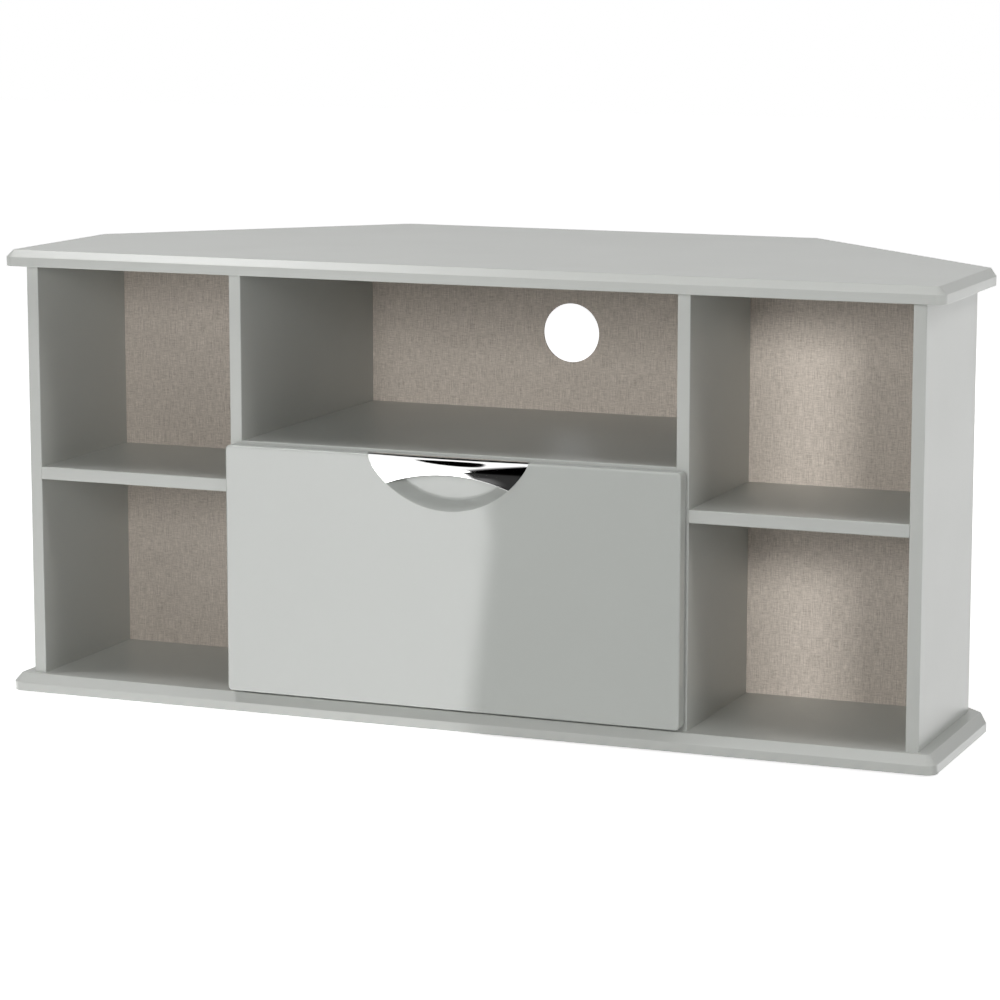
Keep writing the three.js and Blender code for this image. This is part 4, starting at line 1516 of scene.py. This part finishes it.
@dataclass
class DrawerBox:
    """The drawer's box, its screws, pads and the grip's screws."""

    walls: tuple[str, ...] = ("drawer_box_front", "drawer_box_back", "drawer_left_side",
                              "drawer_right_side", "drawer_bottom")
    heights: tuple[str, ...] = ("low", "high")
    cap_screws: tuple[str, ...] = ("left", "middle", "right")

    def build(self, bench: Bench) -> None:
        """Dresses the box and its fastenings.

        Args:
            bench: Makes the pieces.
        """
        bench.dress(WRAP, *self.walls)
        corners = [f"{side_name(side)}_{height}" for side in SIDES for height in self.heights]
        bench.dress(ZINC, *(f"front_screw_{corner}" for corner in corners))
        bench.dress(PAD, *(f"bumper_{corner}" for corner in corners))
        bench.dress(ZINC, *(f"handle_screw_{place}" for place in self.cap_screws))


# Studio


@dataclass(frozen=True)
class Softbox:
    """A lamp with a rectangular face, aimed at a target. Lengths are in metres."""

    name: str
    place: tuple[float, float, float]
    target: tuple[float, float, float]
    size: tuple[float, float]
    power: float
    glossy: bool = False
    lights_only: tuple[str, ...] = ()
    kept_off: tuple[str, ...] = ()

    def build(self) -> None:
        """Makes the lamp, and keeps its light to or off the pieces that it names."""
        lamp = bpy.data.lights.new(self.name, "AREA")
        lamp.shape = "RECTANGLE"
        lamp.size, lamp.size_y = self.size
        lamp.energy = self.power
        holder = bpy.data.objects.new(self.name, lamp)
        bpy.context.scene.collection.objects.link(holder)
        holder.location = self.place
        way = np.array(self.target) - np.array(self.place)
        across = math.hypot(way[0], way[1])
        turn = math.atan2(way[1], way[0]) - math.pi / 2
        holder.rotation_euler = (math.atan2(across, -way[2]), 0.0, turn)
        holder.visible_camera = False
        holder.visible_glossy = self.glossy
        if self.lights_only or self.kept_off:
            flags = bpy.data.collections.new(f"{self.name}_flags")
            for name in self.lights_only + self.kept_off:
                flags.objects.link(bpy.data.objects[name])
                state = "INCLUDE" if name in self.lights_only else "EXCLUDE"
                flags.collection_objects[-1].light_linking.link_state = state
            holder.light_linking.receiver_collection = flags


RIGHT_FRONT = (1.81, -2.28, 1.11)
RIGHT_BAY = (0.4, -0.2, 0.25)


@dataclass
class Studio:
    """The pale floor, the white surroundings and the lamps. Lengths are in metres.

    Gloss alone sees painted reflections in the floor: a bright glow to the left of a line, and a
    dim zone with a pale patch to its right.
    Round the room gloss sees pale surroundings with painted dark reflections: a wedge, a round
    spot and all that is high up.
    """

    floor_half: float = 12.0
    floor_colour: Colour = tone(226, 226, 226)
    floor_glow: tuple[float, float] = (0.8, 1.0)
    floor_fade: tuple[float, float] = (0.8, 1.8)
    world_light: float = 0.02
    # Painted reflections in the floor, seen only in gloss: a line, a bright glow to its left, a
    # dim zone with a pale patch to its right, and a glow behind
    line_slope: float = 0.3855
    line_start: float = 0.1194
    line_bend: float = 0.05
    line_bend_y: float = -2.4
    line_softness: float = 0.018
    bright_reflection_glow: float = 4.5
    bright_reflection_reach: tuple[float, float] = (0.68, 0.86)
    dark_reflection_glow: tuple[float, float] = (0.001, 0.038)
    dark_reflection_fade: tuple[float, float] = (-3.2, -1.6)
    pale_reflection_glow: float = 0.13
    pale_reflection_y: float = -1.42
    pale_reflection_length: tuple[float, float] = (0.1, 0.28)
    pale_reflection_width: tuple[float, float] = (0.04, 0.09)
    front_end: float = -0.22
    under_glow: float = 1.85
    # Painted dark reflections in the surroundings, seen only in gloss: a wedge, a round spot and
    # all that is high up
    dark_wedge_azimuth: tuple[float, float] = (-22.1, -20.5)
    dark_wedge_lean: float = 0.155
    dark_wedge_height: tuple[float, float] = (24.0, 34.0)
    dark_overhead_height: tuple[float, float] = (54.0, 62.0)
    dark_spot_azimuth: float = -24.5
    dark_spot_height: float = 22.0
    dark_spot_size: tuple[float, float] = (2.7, 13.0)
    dark_spot_edge: tuple[float, float] = (0.9, 1.1)
    dark_spot_lean: float = 0.21
    front_glow: float = 1.3
    back_glow: float = 0.8
    lamps: tuple[Softbox, ...] = (
        Softbox("overhead_box", (0.2, -0.5, 2.4), (0.1, 0.0, 0.3), (1.6, 0.8), 6.4,
                glossy=True, kept_off=("drawer_handle_lip",)),
        Softbox("left_ceiling_box", (-1.3, -0.4, 2.5), (0.0, 0.0, 0.4), (0.5, 0.6), 19.0,
                glossy=True, kept_off=("drawer_handle_lip",)),
        Softbox("right_ceiling_box", (2.2, -0.5, 2.2), (0.4, 0.0, 0.3), (0.8, 0.8), 14.0),
        Softbox("rear_box", (0.3, 3.2, 1.3), (0.0, 0.0, 0.3), (1.6, 1.2), 28.0),
        Softbox("front_box", (0.0, -3.4, 1.0), (0.0, 0.0, 0.25), (1.2, 1.2), 50.0),
        Softbox("right_front_box", RIGHT_FRONT, RIGHT_BAY, (0.5, 0.5), 4.0),
        Softbox("right_side_box", (2.8, -0.3, 1.0), (0.0, 0.0, 0.25), (1.0, 1.0), 9.0),
        Softbox("right_bay_box", RIGHT_FRONT, RIGHT_BAY, (0.5, 0.5), 41.0,
                lights_only=("right_back_panel_linen",)),
        Softbox("centre_bay_box", (0.1, -3.4, 1.15), (0.0, 0.0, 0.25), (1.0, 0.8), 19.0,
                lights_only=("centre_back_panel_linen",)),
    )

    def build(self) -> None:
        """Makes the floor, the world and the lamps."""
        self._floor()
        self._world()
        for lamp in self.lamps:
            lamp.build()
            LOG.info("%s: %.0f W", lamp.name, lamp.power)

    def _floor(self) -> None:
        """Makes the floor, white to the camera, that keeps shadows, with painted reflections that
        glow only in gloss.
        """
        half = self.floor_half
        mesh = bpy.data.meshes.new("floor")
        mesh.from_pydata([(-half, -half, 0), (half, -half, 0), (half, half, 0), (-half, half, 0)],
                         [], [(0, 1, 2, 3)])
        material = bpy.data.materials.new("floor")
        material.use_nodes = True
        graph = Graph(material.node_tree)
        seen, glossy = self._rays(graph)
        place = graph.place()
        x, y, _ = graph.parts(place)
        bend = (1 - (y - self.line_bend_y).maths("ABSOLUTE")).maths("MAXIMUM", 0.0)
        from_line = x - y * self.line_slope - self.line_start + bend * self.line_bend
        from_line = from_line / math.hypot(1, self.line_slope)
        right = from_line.smooth(-self.line_softness, self.line_softness)
        # Painted reflections, seen only in gloss: a dim zone right of the line with a pale patch,
        # and a bright glow left of it
        dark_reflection = self._between(self.dark_reflection_glow, y.smooth(*self.dark_reflection_fade))
        along = (y - self.pale_reflection_y).maths("ABSOLUTE").smooth(*self.pale_reflection_length)
        pale_reflection = (1 - from_line.smooth(*self.pale_reflection_width)) * (1 - along)
        dark_reflection = dark_reflection + self.pale_reflection_glow * pale_reflection
        beyond = (y * self.line_slope - x).smooth(*self.bright_reflection_reach)
        left = self._between((self.bright_reflection_glow, self.under_glow), beyond)
        front = left + right * (dark_reflection - left)
        behind = y > self.front_end
        zones = front + behind * (self.under_glow - front)
        diffuse = graph.node("ShaderNodeBsdfDiffuse", None, {"Color": self.floor_colour})
        reach = graph.value("ShaderNodeVectorMath", {"operation": "LENGTH"}, {0: place}, "Value")
        away = reach.smooth(*self.floor_fade)
        strength = seen * self._between(self.floor_glow, away) + glossy * zones
        glow = graph.node("ShaderNodeEmission", None, {"Color": (1, 1, 1), "Strength": strength})
        both = graph.node("ShaderNodeAddShader", None, {0: diffuse.outputs[0],
                                                        1: glow.outputs[0]})
        matt = graph.node("ShaderNodeMixShader", None, {0: glossy, 1: both.outputs[0],
                                                        2: glow.outputs[0]})
        graph.node("ShaderNodeOutputMaterial", None, {"Surface": matt.outputs[0]})
        mesh.materials.append(material)
        floor = bpy.data.objects.new("floor", mesh)
        bpy.context.scene.collection.objects.link(floor)

    @staticmethod
    def _between(ends: tuple[float, float], share: Signal) -> Signal:
        """Returns the value at a share of the way from one end to the other."""
        return ends[0] + share * (ends[1] - ends[0])

    @staticmethod
    def _rays(graph: Graph) -> tuple[Signal, Signal]:
        """Tells rays apart.

        Args:
            graph: The graph.

        Returns:
            1 on rays from the camera and through glass, and 1 on rays off gloss.
        """
        paths = graph.node("ShaderNodeLightPath")
        camera = Signal(graph, paths.outputs["Is Camera Ray"])
        glossy = Signal(graph, paths.outputs["Is Glossy Ray"])
        through = Signal(graph, paths.outputs["Is Transmission Ray"])
        return (camera + through).clamped(), glossy

    def _world(self) -> None:
        """Makes the surroundings: white where they are seen, dim as a light, and in gloss pale
        with painted dark reflections.
        """
        world = bpy.data.worlds.new("surroundings")
        world.use_nodes = True
        bpy.context.scene.world = world
        graph = Graph(world.node_tree)
        seen, glossy = self._rays(graph)
        way = graph.value("ShaderNodeTexCoord", None, None, "Generated")
        x, y, z = graph.parts(way)
        azimuth = x.maths("ARCTAN2", y * -1.0) * math.degrees(1)
        height = z.maths("ARCSINE") * math.degrees(1)
        # Painted dark reflections that only gloss sees: all that is high up, a wedge and a round
        # spot
        dark_overhead = height.smooth(*self.dark_overhead_height)
        dark_reflection = (azimuth - height * self.dark_wedge_lean).smooth(*self.dark_wedge_azimuth)
        dark_reflection = dark_reflection * (1 - height.smooth(*self.dark_wedge_height))
        rise = height - self.dark_spot_height
        across = (azimuth - self.dark_spot_azimuth + rise * self.dark_spot_lean) / self.dark_spot_size[0]
        up = rise / self.dark_spot_size[1]
        dark_spot = 1 - (across ** 2 + up ** 2).smooth(*self.dark_spot_edge)
        behind = y > 0.0
        front = (1 - dark_reflection) * (1 - dark_spot) * self.front_glow
        zones = (front + behind * (self.back_glow - front)) * (1 - dark_overhead)
        strength = seen + glossy * (zones - seen)
        strength = strength + (1 - seen) * (1 - glossy) * self.world_light
        back = graph.node("ShaderNodeBackground", None, {"Color": (1, 1, 1), "Strength": strength})
        graph.node("ShaderNodeOutputWorld", None, {"Surface": back.outputs[0]})


@dataclass(frozen=True)
class Viewpoint:
    """The photograph's viewpoint, in metres and degrees."""

    place: tuple[float, float, float] = (1.4459, -3.6458, 0.87625)
    pitch: float = 80.913
    roll: float = -0.054
    yaw: float = 21.884
    focal_mm: float = 123.278
    sensor_mm: float = 36.0
    shift: tuple[float, float] = (-0.01718, -0.02174)

    def build(self) -> None:
        """Makes the camera and looks through it."""
        data = bpy.data.cameras.new("photo_view")
        data.sensor_width = self.sensor_mm
        data.lens = self.focal_mm
        data.shift_x, data.shift_y = self.shift
        data.clip_end = 60.0
        camera = bpy.data.objects.new("photo_view", data)
        bpy.context.scene.collection.objects.link(camera)
        camera.location = self.place
        camera.rotation_euler = tuple(math.radians(v) for v in (self.pitch, self.roll, self.yaw))
        bpy.context.scene.camera = camera


def main() -> None:
    """Builds the cabinet, the studio and the camera."""
    logging.basicConfig(level=logging.INFO, format="%(name)s: %(message)s")
    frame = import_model()
    bench = Bench(frame)
    Viewpoint().build()
    for assembly in (Boards(), Panels(), Backs(), Runners(), Glides(), DrawerFront(), GripLip(),
                     DrawerBox()):
        LOG.info("building %s", type(assembly).__name__)
        assembly.build(bench)
    Studio().build()
    bpy.context.scene.view_settings.view_transform = "Standard"


if __name__ == "__main__":
    main()
